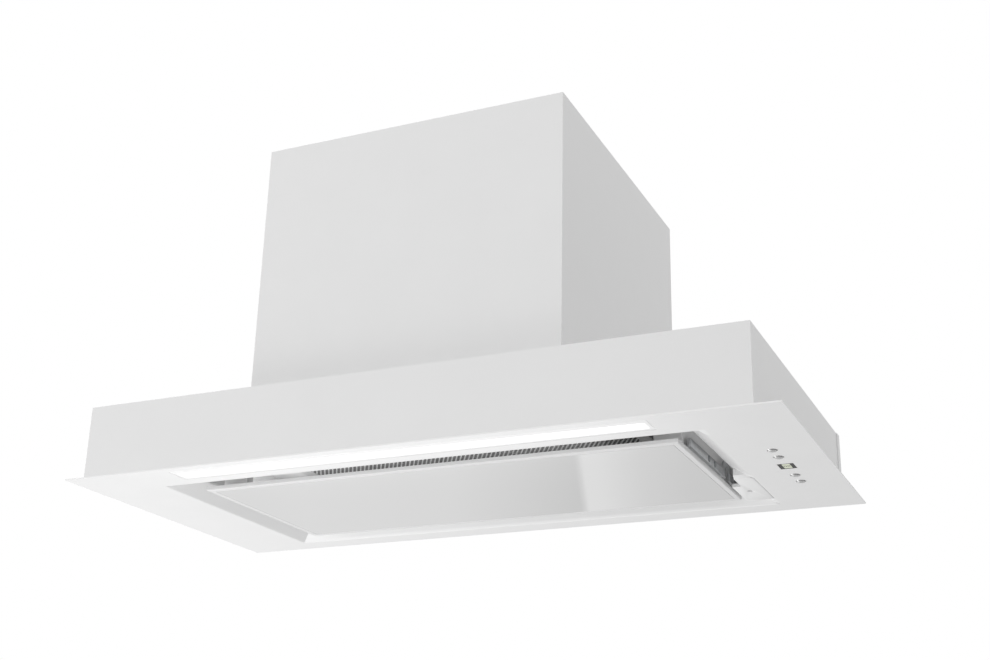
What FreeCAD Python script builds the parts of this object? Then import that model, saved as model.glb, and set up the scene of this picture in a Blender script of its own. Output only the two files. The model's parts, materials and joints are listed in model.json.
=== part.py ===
"""Built-in range hood: a flanged tray with a tilting inlet panel and a motor box above it.

Millimetres. +X is right, +Y is towards the wall and +Z is up. The origin is the middle of the flange
plate's upper face, which seats against the underside of the cabinet.
"""
import FreeCAD, Part
import math
import os
import Sketcher

SIZES = {
    # Flange plate, with its pressed recess
    "plate_width": 900,
    "plate_depth": 435,
    "plate_thickness": 1.5,
    "front_margin": 67.5,
    "side_margin": 102.5,
    "recess_depth": 333,
    "slope_run": 26,
    "slope_rise": 17,
    "slope_skin": 2.7,
    "lip_height": 6,
    # Body shell
    "body_overhang": 29,
    "seat_gap": 0.5,
    "body_height": 90,
    "wall": 1,
    "front_return": 28,
    "rear_return": 15,
    "side_return": 20,
    "foot_return": 8,
    "rear_lap": 14,
    "hanging_hole_radius": 3.3,
    "hanging_inset": 41,
    "hanging_spacing_deep": 320,
    # Motor box
    "motor_box_width": 405,
    "motor_box_setback": 24,
    "motor_box_height": 330,
    "motor_box_flange": 15,
    "air_opening_margin": 20,
    # Outlet collar and its flaps
    "outlet_radius": 75,
    "collar_wall": 2,
    "collar_height": 48,
    "collar_flange": 13,
    "gasket_thickness": 2,
    "flap_level": 18,
    "flap_thickness": 1.2,
    "flap_rim_clearance": 0.7,
    "flap_setback": 4,
    "flap_stop_width": 3,
    "flap_stop_height": 2,
    "axle_radius": 1.5,
    "knuckle_radius": 3.2,
    "knuckle_length": 24,
    "knuckle_pitch": 32,
    # Fan
    "fan_height": 250,
    "scroll_start_radius": 113,
    "scroll_growth": 14,
    "scroll_wall": 2,
    "scroll_width": 200,
    "scroll_flange": 10,
    "inlet_radius": 88,
    "impeller_radius": 100,
    "impeller_width": 188,
    "blade_count": 24,
    "blade_length": 16,
    "blade_thickness": 1.2,
    "blade_angle": 28,
    "impeller_ring": 3,
    "hub_radius": 16,
    "hub_length": 26,
    "shaft_radius": 6,
    "shaft_length": 100,
    "motor_radius": 55,
    "motor_length": 76,
    "motor_hub_gap": 4,
    "bracket_boss_radius": 40,
    "bracket_arm_count": 3,
    "bracket_arm_width": 16,
    "bracket_arm_thickness": 3,
    "bracket_arm_lap": 14,
    "nut_radius": 9,
    "nut_length": 6,
    "running_gap": 0.05,
    # Electrical boxes in the motor box
    "power_box_width": 40,
    "power_box_length": 150,
    "power_box_height": 100,
    "power_box_rise": 25,
    "capacitor_radius": 18,
    "capacitor_length": 70,
    "gland_radius": 9,
    "gland_flange_radius": 13,
    "gland_bore_radius": 4,
    "gland_height": 22,
    "gland_tail": 11,
    "gland_flange_height": 5.5,
    "gland_inset": 55,
    "screw_head_radius": 3.5,
    "screw_head_height": 2,
    "screw_inset": 7,
    # Light strip
    "led_end_inset": 44.5,
    "led_width": 36,
    "led_setback": 12,
    "led_ledge": 1.5,
    "led_ledge_height": 2,
    "led_clearance": 0.3,
    "led_channel_height": 22,
    "led_channel_wall": 1.2,
    "led_board_width": 20,
    "led_board_thickness": 1.6,
    "driver_length": 120,
    "driver_width": 42,
    "driver_height": 26,
    "driver_inset": 12,
    # Controls in the right margin
    "control_inset": 51.5,
    "button_near": 40,
    "button_far": 69,
    "button_radius": 4.8,
    "button_proud": 1.6,
    "button_dome": 0.8,
    "button_gap": 0.15,
    "button_travel": 1,
    "button_flange": 1.2,
    "button_stem_radius": 1.5,
    "bezel_rim": 0.7,
    "bezel_height": 0.6,
    "bezel_sleeve": 0.55,
    "bezel_rise": 1.5,
    "display_width": 19,
    "display_length": 22,
    "display_ledge": 2,
    "display_ledge_height": 1.5,
    "control_housing_width": 36,
    "control_housing_length": 170,
    "control_housing_height": 20,
    "control_housing_wall": 1.5,
    "control_board_height": 11,
    "control_board_thickness": 1.6,
    "switch_width": 6,
    "switch_height": 3.5,
    "plunger_radius": 1.7,
    "plunger_length": 1,
    "cable_radius": 3,
    "cable_level": 72,
    "cable_bend": 20,
    "cable_inset": 26,
    # Grease filter and its tray
    "tray_height": 53,
    "filter_width": 480,
    "filter_depth": 216,
    "filter_thickness": 10,
    "filter_bar": 12,
    "filter_clearance": 0.5,
    "filter_tab_width": 30,
    "filter_tab_reach": 7,
    "filter_tab_offset": 150,
    "filter_tab_thickness": 2,
    "grille_thickness": 1,
    "pad_thickness": 3,
    "grille_pitch": 6,
    "grille_slot": 4,
    "grille_rim": 3,
    "grille_lean": 30,
    "latch_width": 30,
    "latch_length": 14,
    "latch_thickness": 2,
    "latch_tongue": 3.5,
    "latch_travel": 4,
    "latch_tab_width": 18,
    "latch_tab_thickness": 3,
    "latch_tab_drop": 2,
    "latch_guide": 3,
    "slide_gap": 0.3,
    # Folded sheets above the panel's sides
    "baffle_inset": 4,
    "baffle_setback": 31,
    "baffle_rear_gap": 29,
    "baffle_lift": 4.5,
    "baffle_turn": 34,
    # Tilting panel
    "panel_gap": 34,
    "panel_side_gap": 38,
    "panel_border": 7,
    "panel_backing": 1,
    "glass_thickness": 4,
    "glass_clearance": 0.2,
    "glass_chamfer": 0.6,
    "rail_length": 127,
    "rail_leg": 20,
    "rail_height": 10.5,
    "rail_thickness": 1.5,
    # Panel hinges
    "pivot_setback": 15,
    "pivot_rise": 14,
    "hinge_pin_radius": 3,
    "hinge_pin_head": 1.5,
    "hinge_pin_head_radius": 4.8,
    "hinge_side_gap": 0.5,
    "arm_length": 214,
    "arm_width": 10,
    "arm_thickness": 2.5,
    "arm_lift": 0.5,
    "eye_radius": 8,
    "neck_radius": 14,
    "neck_from_pivot": 64,
    "rivet_from_pivot": 118,
    "rivet_pitch": 24,
    "rivet_radius": 4,
    "rivet_height": 1.5,
    "hinge_bracket_length": 24,
    "hinge_bracket_height": 30,
    # White cover over the right hinge
    "cover_length": 106,
    "cover_tip": 0.5,
    "cover_end_gap": 2.5,
    "cover_step_length": 38,
    "cover_step_width": 4,
    "cover_tongue_thickness": 4.5,
    "cover_bevel": 4,
    "cover_screw_inset": 16.5,
    "cover_screw_setback": 44,
    "cover_screw_radius": 4,
    "cover_screw_depth": 2,
    "cover_screw_sink": 1.2,
    "cover_screw_gap": 0.3,
    # Panel catches
    "catch_inset": 1,
    "catch_width": 16,
    "catch_depth": 14,
    "catch_height": 22,
    "catch_gap": 0.4,
    "striker_thickness": 1.5,
}

doc = FreeCAD.newDocument("range_hood")
sheet = doc.addObject("Spreadsheet::Sheet", "sizes")
for row, (alias, number) in enumerate(SIZES.items(), start=1):
    sheet.set(f"A{row}", alias)
    sheet.set(f"B{row}", str(number))
    sheet.setAlias(f"B{row}", alias)
doc.recompute()

sub_parts = {}


class Size:
    """A length kept as a formula on the sheet's cells, so that pieces follow a changed cell."""

    def __init__(self, formula):
        self.formula = formula

    def __add__(self, other):
        return Size(f"({self.formula} + {as_size(other).formula})")

    def __sub__(self, other):
        return Size(f"({self.formula} - {as_size(other).formula})")

    def __mul__(self, factor):
        return Size(f"({self.formula} * {as_size(factor).formula})")

    def __truediv__(self, divisor):
        return Size(f"({self.formula} / {as_size(divisor).formula})")

    def __neg__(self):
        return Size(f"(0 - {self.formula})")

    @property
    def value(self):
        return float(sheet.evalExpression(self.formula))


class Cells:
    """The sheet's cells by alias, each as a Size."""

    def __getattr__(self, alias):
        return Size(f"sizes.{alias}")


def as_size(length):
    return length if isinstance(length, Size) else Size(str(length))


def bind(item, prop, length):
    item.setExpression(prop, as_size(length).formula)


def place(item, x, y, z):
    for axis, length in zip("xyz", (x, y, z)):
        bind(item, f"Placement.Base.{axis}", length)


def sub_part(node, item):
    """Give a finished sub-part the name that a person would use for it."""
    item.Label = node
    sub_parts[node] = item
    return item


def box(name, x, y, z):
    """A box between the low and high ends given for each axis."""
    item = doc.addObject("Part::Box", name)
    for prop, (low, high) in zip(("Length", "Width", "Height"), (x, y, z)):
        bind(item, prop, as_size(high) - low)
    place(item, x[0], y[0], z[0])
    return item


AXIS_TURN = {
    "x": FreeCAD.Rotation(FreeCAD.Vector(0, 1, 0), 90),
    "z": FreeCAD.Rotation(),
}


def cylinder(name, axis, start, radius, length):
    """A cylinder that runs along an axis from its start point."""
    item = doc.addObject("Part::Cylinder", name)
    item.Placement = FreeCAD.Placement(FreeCAD.Vector(), AXIS_TURN[axis])
    bind(item, "Radius", radius)
    bind(item, "Height", length)
    place(item, *start)
    return item


def frustum(name, low, high, z):
    """A four-sided frustum: x and y spans at the bottom and at the top, and its height span."""
    item = doc.addObject("Part::Wedge", name)
    upright = FreeCAD.Rotation(FreeCAD.Vector(1, 0, 0), 90)
    item.Placement = FreeCAD.Placement(FreeCAD.Vector(), upright)
    for suffix, (x, y) in (("", low), ("2", high)):
        bind(item, f"X{suffix}min", x[0])
        bind(item, f"X{suffix}max", x[1])
        bind(item, f"Z{suffix}min", -as_size(y[1]))
        bind(item, f"Z{suffix}max", -as_size(y[0]))
    bind(item, "Ymin", z[0])
    bind(item, "Ymax", z[1])
    return item


def fuse(name, *items):
    item = doc.addObject("Part::MultiFuse", name)
    item.Shapes = list(items)
    item.Refine = True
    return item


def cut(name, base, *tools):
    item = doc.addObject("Part::Cut", name)
    item.Base = base
    item.Tool = tools[0] if len(tools) == 1 else fuse(f"{name}_tools", *tools)
    return item


def group(name, *items):
    """Separate solids that share one node."""
    item = doc.addObject("Part::Compound", name)
    item.Links = list(items)
    return item


def outline_sketch(body, role, points):
    """A closed outline on one of the body's origin planes; each corner's place is a formula."""
    plane = next(item for item in body.Origin.OriginFeatures if item.Role == role)
    sketch = body.newObject("Sketcher::SketchObject", f"{body.Name}_outline")
    sketch.AttachmentSupport = [(plane, "")]
    sketch.MapMode = "FlatFace"
    corners = [(as_size(u), as_size(v)) for u, v in points]
    spots = [FreeCAD.Vector(u.value, v.value, 0) for u, v in corners]
    count = len(spots)
    for index in range(count):
        sketch.addGeometry(Part.LineSegment(spots[index], spots[(index + 1) % count]))
    for index in range(count):
        sketch.addConstraint(Sketcher.Constraint("Coincident", index, 2, (index + 1) % count, 1))
    for index, (u, v) in enumerate(corners):
        for kind, length in (("DistanceX", u), ("DistanceY", v)):
            place_of = Sketcher.Constraint(kind, -1, 1, index, 1, length.value)
            number = sketch.addConstraint(place_of)
            sketch.setExpression(f"Constraints[{number}]", length.formula)
    return sketch


def padded(name, role, points, length):
    """A body padded evenly to both sides of an origin plane."""
    body = doc.addObject("PartDesign::Body", name)
    pad = body.newObject("PartDesign::Pad", f"{name}_pad")
    pad.Profile = outline_sketch(body, role, points)
    pad.Midplane = True
    bind(pad, "Length", length)
    return body


def turned(name, points):
    """A body turned round the upright axis from an outline of radius and height."""
    body = doc.addObject("PartDesign::Body", name)
    sketch = outline_sketch(body, "XZ_Plane", points)
    turn = body.newObject("PartDesign::Revolution", f"{name}_turn")
    turn.Profile = sketch
    turn.ReferenceAxis = (sketch, ["V_Axis"])
    turn.Angle = 360
    return body


def shaped(name, shape):
    """A piece whose form needs curves worked out from the sheet."""
    item = doc.addObject("Part::Feature", name)
    item.Shape = shape
    return item


def rect_face(x, y, z):
    low = FreeCAD.Vector(x[0], y[0], z)
    return Part.makePlane(x[1] - x[0], y[1] - y[0], low)


dim = Cells()

# Places that several pieces share
half_plate = dim.plate_width / 2
front = -dim.plate_depth / 2
rear = dim.plate_depth / 2
underside = -dim.plate_thickness
half_body = half_plate - dim.body_overhang
body_top = dim.body_height
half_recess = half_plate - dim.side_margin
recess_front = front + dim.front_margin
recess_rear = recess_front + dim.recess_depth
recess_mid = recess_front + dim.recess_depth / 2
half_well = half_recess - dim.slope_run
well_front = recess_front + dim.slope_run
well_rear = recess_rear - dim.slope_run
slope_top = underside + dim.slope_rise
lip_top = slope_top + dim.lip_height
tray_top = dim.tray_height + dim.wall
half_led = half_recess - dim.led_end_inset
half_panel = half_recess - dim.panel_side_gap
panel_front = recess_front + dim.panel_gap
panel_rear = recess_rear - dim.panel_gap
panel_top = underside + dim.glass_thickness + dim.panel_backing
baffle_outer = half_panel - dim.baffle_inset
baffle_turn_end = baffle_outer - dim.baffle_turn
baffle_front = panel_front + dim.baffle_setback
catch_x = (baffle_turn_end + dim.catch_inset, baffle_turn_end + dim.catch_inset + dim.catch_width)
catch_y = (baffle_front + dim.wall, baffle_front + dim.wall + dim.catch_depth)
arm_inner = half_panel + dim.rail_thickness
arm_outer = arm_inner + dim.arm_thickness
pivot_y = panel_rear - dim.pivot_setback
pivot_z = underside + dim.pivot_rise
half_motor_box = dim.motor_box_width / 2
motor_box_front = front + dim.motor_box_setback
motor_box_mid = (motor_box_front + rear) / 2
motor_box_top = body_top + dim.motor_box_height
half_box_inside = half_motor_box - dim.wall
control_x = half_plate - dim.control_inset
button_steps = (-dim.button_far, -dim.button_near, dim.button_near, dim.button_far)
cover_screw_x = half_recess - dim.cover_screw_inset
cover_rear = well_rear - dim.cover_end_gap
cover_screw_y = cover_rear - dim.cover_screw_setback
fan_y = motor_box_mid - dim.scroll_start_radius / 2 - dim.scroll_growth


def both(length):
    """A span that lies evenly to both sides of the middle."""
    return (-as_size(length), as_size(length))


def around(middle, length):
    """A span of a given length about a middle."""
    return (middle - as_size(length) / 2, middle + as_size(length) / 2)


def on_side(sign, span):
    """A span on the right, or its mirror image on the left where the sign is negative."""
    return span if sign > 0 else (-span[1], -span[0])


def make_flange_plate():
    """One pressed sheet: flat flange, slopes up to the well, and a short upright lip round the well.

    The strips that seat on the cabinet, outside the body, keep faces of their own.
    """
    seat_start = half_body + dim.wall + dim.seat_gap
    plate = box("plate_sheet", both(seat_start), (front, rear), (underside, 0))
    skin = dim.slope_skin
    outside = frustum(
        "slope_outside",
        (both(half_recess + skin), (recess_front - skin, recess_rear + skin)),
        (both(half_well + skin), (well_front - skin, well_rear + skin)),
        (underside, slope_top),
    )
    lip = box(
        "lip_outside",
        both(half_well + dim.plate_thickness),
        (well_front - dim.plate_thickness, well_rear + dim.plate_thickness),
        (slope_top, lip_top),
    )
    slopes = frustum(
        "slope_inside",
        (both(half_recess), (recess_front, recess_rear)),
        (both(half_well), (well_front, well_rear)),
        (underside, slope_top),
    )
    well = box("well_inside", both(half_well), (well_front, well_rear), (slope_top, lip_top))
    led_front = front + dim.led_setback
    slot = box("led_slot", both(half_led), (led_front, led_front + dim.led_width), (underside, 0))
    holes = [slopes, well, slot]
    hole_radius = dim.button_radius + dim.button_gap + dim.bezel_sleeve
    for index, step in enumerate(button_steps, start=1):
        start = (control_x, recess_mid + step, underside)
        holes.append(cylinder(f"button_hole_{index}", "z", start, hole_radius, dim.plate_thickness))
    window_x = around(control_x, dim.display_width)
    window_y = around(recess_mid, dim.display_length)
    holes.append(box("display_hole", window_x, window_y, (underside, 0)))
    screw_radius = dim.cover_screw_radius / 2 + dim.cover_screw_gap
    screw_start = (cover_screw_x, cover_screw_y, underside)
    holes.append(cylinder("cover_screw_hole", "z", screw_start, screw_radius, dim.slope_rise + skin))
    pressed = cut("pressed_sheet", fuse("unpierced_sheet", plate, outside, lip), *holes)
    seats = []
    for side, span in (("left", (-half_plate, -seat_start)), ("right", (seat_start, half_plate))):
        seats.append(box(f"seat_strip_{side}", span, (front, rear), (underside, 0)))
    whole = fuse("flange_plate", pressed, *seats)
    whole.Refine = False
    sub_part("flange_plate", whole)


def make_body_shell():
    """Folded front and rear panels, side panels between them, and a top panel with the air opening."""
    wall = dim.wall
    front_outline = [
        (front, 0),
        (front + wall, 0),
        (front + wall, body_top - wall),
        (front + dim.front_return, body_top - wall),
        (front + dim.front_return, body_top),
        (front, body_top),
    ]
    face = padded("front_face", "YZ_Plane", front_outline, half_body * 2)
    foot = box("front_foot", both(half_body - wall), (front + wall, front + dim.foot_return), (0, wall))
    sub_part("front_panel", fuse("front_panel", face, foot))
    for side, sign in (("left", -1), ("right", 1)):
        outer = half_body * sign
        inner = (half_body - wall) * sign
        sheet_outline = [
            (outer, 0),
            (outer, body_top - wall),
            ((half_body - dim.side_return) * sign, body_top - wall),
            ((half_body - dim.side_return) * sign, body_top - wall * 2),
            (inner, body_top - wall * 2),
            (inner, 0),
        ]
        name = f"{side}_side_panel"
        sub_part(name, padded(name, "XZ_Plane", sheet_outline, dim.plate_depth - wall * 2))
    back = box("rear_sheet", both(half_body), (rear - wall, rear), (0, body_top))
    ledge = box("rear_ledge", both(half_body), (rear - dim.rear_return, rear), (body_top - wall, body_top))
    laps = []
    for side, sign in (("left", -1), ("right", 1)):
        span = on_side(sign, (half_body, half_body + wall))
        laps.append(box(f"rear_lap_{side}", span, (rear - dim.rear_lap, rear), (0, body_top)))
    sub_part("rear_panel", fuse("rear_panel", back, ledge, *laps))
    lid_y = (front + dim.front_return, rear - dim.rear_return)
    lid = box("top_sheet", both(half_body), lid_y, (body_top - wall, body_top))
    margin = wall + dim.air_opening_margin
    opening = box(
        "air_opening",
        both(half_motor_box - margin),
        (motor_box_front + margin, rear - margin),
        (body_top - wall, body_top),
    )
    holes = [opening]
    for x in both(half_body - dim.hanging_inset):
        for y in both(dim.hanging_spacing_deep / 2):
            start = (x, y, body_top - wall)
            name = f"hanging_hole_{len(holes)}"
            holes.append(cylinder(name, "z", start, dim.hanging_hole_radius, wall))
    sub_part("top_panel", cut("top_panel", lid, *holes))


def make_plenum():
    """Upright walls on the plate's lip, and the tray that carries the grease filter."""
    wall = dim.wall
    outer_x = both(half_well + wall)
    outer_y = (well_front - wall, well_rear + wall)
    tube = box("surround_outside", outer_x, outer_y, (lip_top, dim.tray_height))
    bore = box("surround_inside", both(half_well), (well_front, well_rear), (lip_top, dim.tray_height))
    sub_part("plenum_surround", cut("plenum_surround", tube, bore))
    sheet_of_tray = box("tray_sheet", outer_x, outer_y, (dim.tray_height, tray_top))
    opening = box(
        "filter_opening",
        both(dim.filter_width / 2 + dim.filter_clearance),
        around(recess_mid, dim.filter_depth + dim.filter_clearance * 2),
        (dim.tray_height, tray_top),
    )
    sub_part("filter_tray", cut("filter_tray", sheet_of_tray, opening))


def make_side_baffles():
    """Folded sheets under the filter tray, one along each side gap; each turns in at its front."""
    wall = dim.wall
    baffle_rear = pivot_y - dim.baffle_rear_gap
    upright = (panel_top + dim.baffle_lift, dim.tray_height)
    baffles = []
    for side, sign in (("left", -1), ("right", 1)):
        side_x = on_side(sign, (baffle_outer - wall, baffle_outer))
        turn_x = on_side(sign, (baffle_turn_end, baffle_outer - wall))
        along = box(f"baffle_along_{side}", side_x, (baffle_front, baffle_rear), upright)
        turn = box(f"baffle_turn_{side}", turn_x, (baffle_front, baffle_front + wall), upright)
        baffles.append(fuse(f"baffle_{side}", along, turn))
    sub_part("side_baffles", group("side_baffles", *baffles))


def make_grease_filter():
    """Cassette with a slotted grille below and a mesh pad above it, hung on tabs and a sprung latch."""
    half = dim.filter_width / 2
    filter_front = recess_mid - dim.filter_depth / 2
    filter_rear = recess_mid + dim.filter_depth / 2
    low = tray_top - dim.filter_thickness
    bar = dim.filter_bar
    window_x = both(half - bar)
    window_y = (filter_front + bar, filter_rear - bar)
    casing = box("filter_casing", both(half), (filter_front, filter_rear), (low, tray_top))
    window = box("filter_window", window_x, window_y, (low, tray_top))
    tab_gap = dim.slide_gap
    half_tab = dim.latch_tab_width / 2
    tab_front = filter_front + dim.latch_tab_thickness
    tab_rear = tab_front + dim.latch_tab_thickness
    slot_y = (tab_front - tab_gap, tab_rear + dim.latch_travel + tab_gap)
    slot = box("latch_slot", both(half_tab + tab_gap), slot_y, (low, tray_top))
    extras = []
    for side, sign in (("left", -1), ("right", 1)):
        tab_x = around(dim.filter_tab_offset * sign, dim.filter_tab_width)
        tab_y = (filter_rear - bar, filter_rear + dim.filter_tab_reach)
        tab_z = (tray_top, tray_top + dim.filter_tab_thickness)
        extras.append(box(f"filter_tab_{side}", tab_x, tab_y, tab_z))
        guide_y = (filter_front + dim.latch_guide, filter_front + dim.latch_guide * 3)
        inner = dim.latch_width / 2 + dim.slide_gap
        roof = tray_top + dim.latch_thickness + dim.slide_gap * 2
        post = on_side(sign, (inner, inner + dim.latch_guide))
        cap = on_side(sign, (inner - dim.latch_guide, inner + dim.latch_guide))
        extras.append(box(f"latch_post_{side}", post, guide_y, (tray_top, roof)))
        extras.append(box(f"latch_cap_{side}", cap, guide_y, (roof, roof + dim.wall)))
    frame = cut("filter_bars", casing, window, slot)
    sub_part("filter_frame", fuse("filter_frame", frame, *extras))

    latch_low = tray_top + dim.slide_gap
    tongue_y = filter_front - dim.latch_tongue
    plate_y = (tongue_y, tongue_y + dim.latch_length)
    plate_z = (latch_low, latch_low + dim.latch_thickness)
    plate = box("latch_plate", both(dim.latch_width / 2), plate_y, plate_z)
    tab = box("latch_tab", both(half_tab), (tab_front, tab_rear), (low - dim.latch_tab_drop, latch_low))
    sub_part("filter_latch", fuse("filter_latch", plate, tab))

    grille_top = low + dim.grille_thickness
    sub_part("filter_grille", shaped("filter_grille", slotted_sheet(window_x, window_y, low)))
    pad_z = (grille_top, grille_top + dim.pad_thickness)
    sub_part("filter_pad", box("filter_pad", window_x, window_y, pad_z))


def slotted_sheet(x, y, z):
    """A sheet with even slots that slant across its depth, one bar left between each two."""
    x_low, x_high = (end.value for end in x)
    y_low, y_high = (end.value for end in y)
    rim = dim.grille_rim.value
    pitch = dim.grille_pitch.value
    slot = dim.grille_slot.value
    window = rect_face((x_low + rim, x_high - rim), (y_low + rim, y_high - rim), z.value)
    shift = (y_high - y_low) * math.tan(math.radians(dim.grille_lean.value))
    wires = [rect_face((x_low, x_high), (y_low, y_high), z.value).OuterWire]
    for index in range(int((x_high - x_low + shift) / pitch)):
        left = x_low - shift + index * pitch
        right = left + slot
        corners = [(left, y_high), (right, y_high), (right + shift, y_low), (left + shift, y_low)]
        points = [FreeCAD.Vector(*corner, z.value) for corner in corners]
        slant = Part.Face(Part.makePolygon(points + points[:1])).common(window)
        if slant.Area > pitch * pitch:
            wires.append(slant.Faces[0].OuterWire)
    holed = Part.makeFace(wires, "Part::FaceMakerBullseye")
    return holed.extrude(FreeCAD.Vector(0, 0, dim.grille_thickness.value))


def make_light_strip():
    """Opal bar hung in the plate's slot by its ledge, under a channel that carries the LED board."""
    slot_y = (front + dim.led_setback, front + dim.led_setback + dim.led_width)
    gap = dim.led_clearance
    ledge = dim.led_ledge
    half = half_led
    bar = box("diffuser_bar", both(half - gap), (slot_y[0] + gap, slot_y[1] - gap), (underside, 0))
    rim_z = (0, dim.led_ledge_height)
    rim = box("diffuser_rim", both(half + ledge), (slot_y[0] - ledge, slot_y[1] + ledge), rim_z)
    sub_part("led_diffuser", fuse("led_diffuser", bar, rim))
    room = ledge + gap
    skin = room + dim.led_channel_wall
    channel_top = dim.led_channel_height
    roof = channel_top - dim.led_channel_wall
    hull = box("channel_hull", both(half + skin), (slot_y[0] - skin, slot_y[1] + skin), (0, channel_top))
    hollow = box("channel_hollow", both(half + room), (slot_y[0] - room, slot_y[1] + room), (0, roof))
    sub_part("led_channel", cut("led_channel", hull, hollow))
    board_y = around(slot_y[0] + dim.led_width / 2, dim.led_board_width)
    board = box("led_board", both(half), board_y, (roof - dim.led_board_thickness, roof))
    sub_part("led_board", board)
    driver_x = (-half_recess - dim.driver_inset - dim.driver_width, -half_recess - dim.driver_inset)
    driver = box("led_driver", driver_x, around(recess_mid, dim.driver_length), (0, dim.driver_height))
    sub_part("led_driver", driver)


def make_controls():
    """Four sprung buttons in rings, the display, and the housing with its board behind the plate."""
    housing_x = around(control_x, dim.control_housing_width)
    housing_y = around(recess_mid, dim.control_housing_length)
    skin = dim.control_housing_wall
    inside_x = (housing_x[0] + skin, housing_x[1] - skin)
    inside_y = (housing_y[0] + skin, housing_y[1] - skin)
    top = dim.control_housing_height
    hull = box("housing_hull", housing_x, housing_y, (0, top))
    hollow = box("housing_hollow", inside_x, inside_y, (0, top - skin))
    sub_part("control_housing", cut("control_housing", hull, hollow))
    board_z = (dim.control_board_height, dim.control_board_height + dim.control_board_thickness)
    sub_part("control_board", box("control_board", inside_x, inside_y, board_z))

    switch_low = dim.control_board_height - dim.switch_height
    plunger_low = switch_low - dim.plunger_length
    switches = []
    bezels = []
    for index, step in enumerate(button_steps, start=1):
        y = recess_mid + step
        span_x = around(control_x, dim.switch_width)
        case = box(f"switch_case_{index}", span_x, around(y, dim.switch_width), (switch_low, board_z[0]))
        start = (control_x, y, plunger_low)
        plunger = cylinder(f"plunger_{index}", "z", start, dim.plunger_radius, dim.plunger_length)
        switches.append(fuse(f"switch_{index}", case, plunger))
        bezel = make_bezel(f"bezel_{index}")
        place(bezel, control_x, y, 0)
        bezels.append(bezel)
        button = make_button(f"button_{index}", plunger_low)
        place(button, control_x, y, 0)
        sub_part(f"button_{index}", button)
    sub_part("tact_switches", group("tact_switches", *switches))
    sub_part("button_rings", group("button_rings", *bezels))

    gap = dim.button_gap
    window_x = around(control_x, dim.display_width - gap * 2)
    window_y = around(recess_mid, dim.display_length - gap * 2)
    pane = box("display_pane", window_x, window_y, (underside, 0))
    ledge_x = around(control_x, dim.display_width + dim.display_ledge * 2)
    ledge_y = around(recess_mid, dim.display_length + dim.display_ledge * 2)
    ledge = box("display_rim", ledge_x, ledge_y, (0, dim.display_ledge_height))
    sub_part("display_window", fuse("display_window", pane, ledge))
    module_z = (dim.display_ledge_height, board_z[0])
    sub_part("display_module", box("display_module", window_x, window_y, module_z))
    sub_part("control_cable", shaped("control_cable", cable_shape()))


def make_bezel(name):
    """A ring whose rim lies under the plate and whose sleeve guides the button."""
    inner = dim.button_radius + dim.button_gap
    sleeve = inner + dim.bezel_sleeve
    return turned(name, [
        (inner, underside - dim.bezel_height),
        (sleeve + dim.bezel_rim, underside - dim.bezel_height),
        (sleeve + dim.bezel_rim, underside),
        (sleeve, underside),
        (sleeve, dim.bezel_rise),
        (inner, dim.bezel_rise),
    ])


# Parts of a button's radius at which its dome, a shallow parabola, has a corner
DOME_STEPS = (0, 0.25, 0.5, 0.75, 1)


def make_button(name, plunger_low):
    """A domed cap, kept in by a flange above its ring, with a stem that reaches the switch."""
    radius = dim.button_radius
    face = underside - dim.button_proud
    flange_low = dim.bezel_rise + dim.slide_gap
    stem_top = plunger_low - dim.button_travel - dim.slide_gap
    dome = [(radius * part, face - dim.button_dome * (1 - part**2)) for part in DOME_STEPS]
    return turned(name, dome + [
        (radius, flange_low),
        (radius + dim.button_flange, flange_low),
        (radius + dim.button_flange, flange_low + dim.wall),
        (dim.button_stem_radius, flange_low + dim.wall),
        (dim.button_stem_radius, stem_top),
        (0, stem_top),
    ])


def cable_shape():
    """Lead from the control housing, up and across under the top panel, then up to the power box."""
    y = recess_mid.value
    level = dim.cable_level.value
    bend = dim.cable_bend.value
    start = FreeCAD.Vector(control_x.value, y, dim.control_housing_height.value)
    finish_x = (half_box_inside - dim.cable_inset).value
    finish = FreeCAD.Vector(finish_x, y, (body_top + dim.power_box_rise).value)
    lean = bend * (1 - math.sqrt(0.5))
    first_low = FreeCAD.Vector(start.x, y, level - bend)
    first_mid = FreeCAD.Vector(start.x - lean, y, level - lean)
    first_high = FreeCAD.Vector(start.x - bend, y, level)
    second_low = FreeCAD.Vector(finish.x + bend, y, level)
    second_mid = FreeCAD.Vector(finish.x + lean, y, level + lean)
    second_high = FreeCAD.Vector(finish.x, y, level + bend)
    path = Part.Wire([
        Part.LineSegment(start, first_low).toShape(),
        Part.Arc(first_low, first_mid, first_high).toShape(),
        Part.LineSegment(first_high, second_low).toShape(),
        Part.Arc(second_low, second_mid, second_high).toShape(),
        Part.LineSegment(second_high, finish).toShape(),
    ])
    section = Part.Wire(Part.makeCircle(dim.cable_radius.value, start, FreeCAD.Vector(0, 0, 1)))
    return path.makePipeShell([section], True, False)


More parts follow.
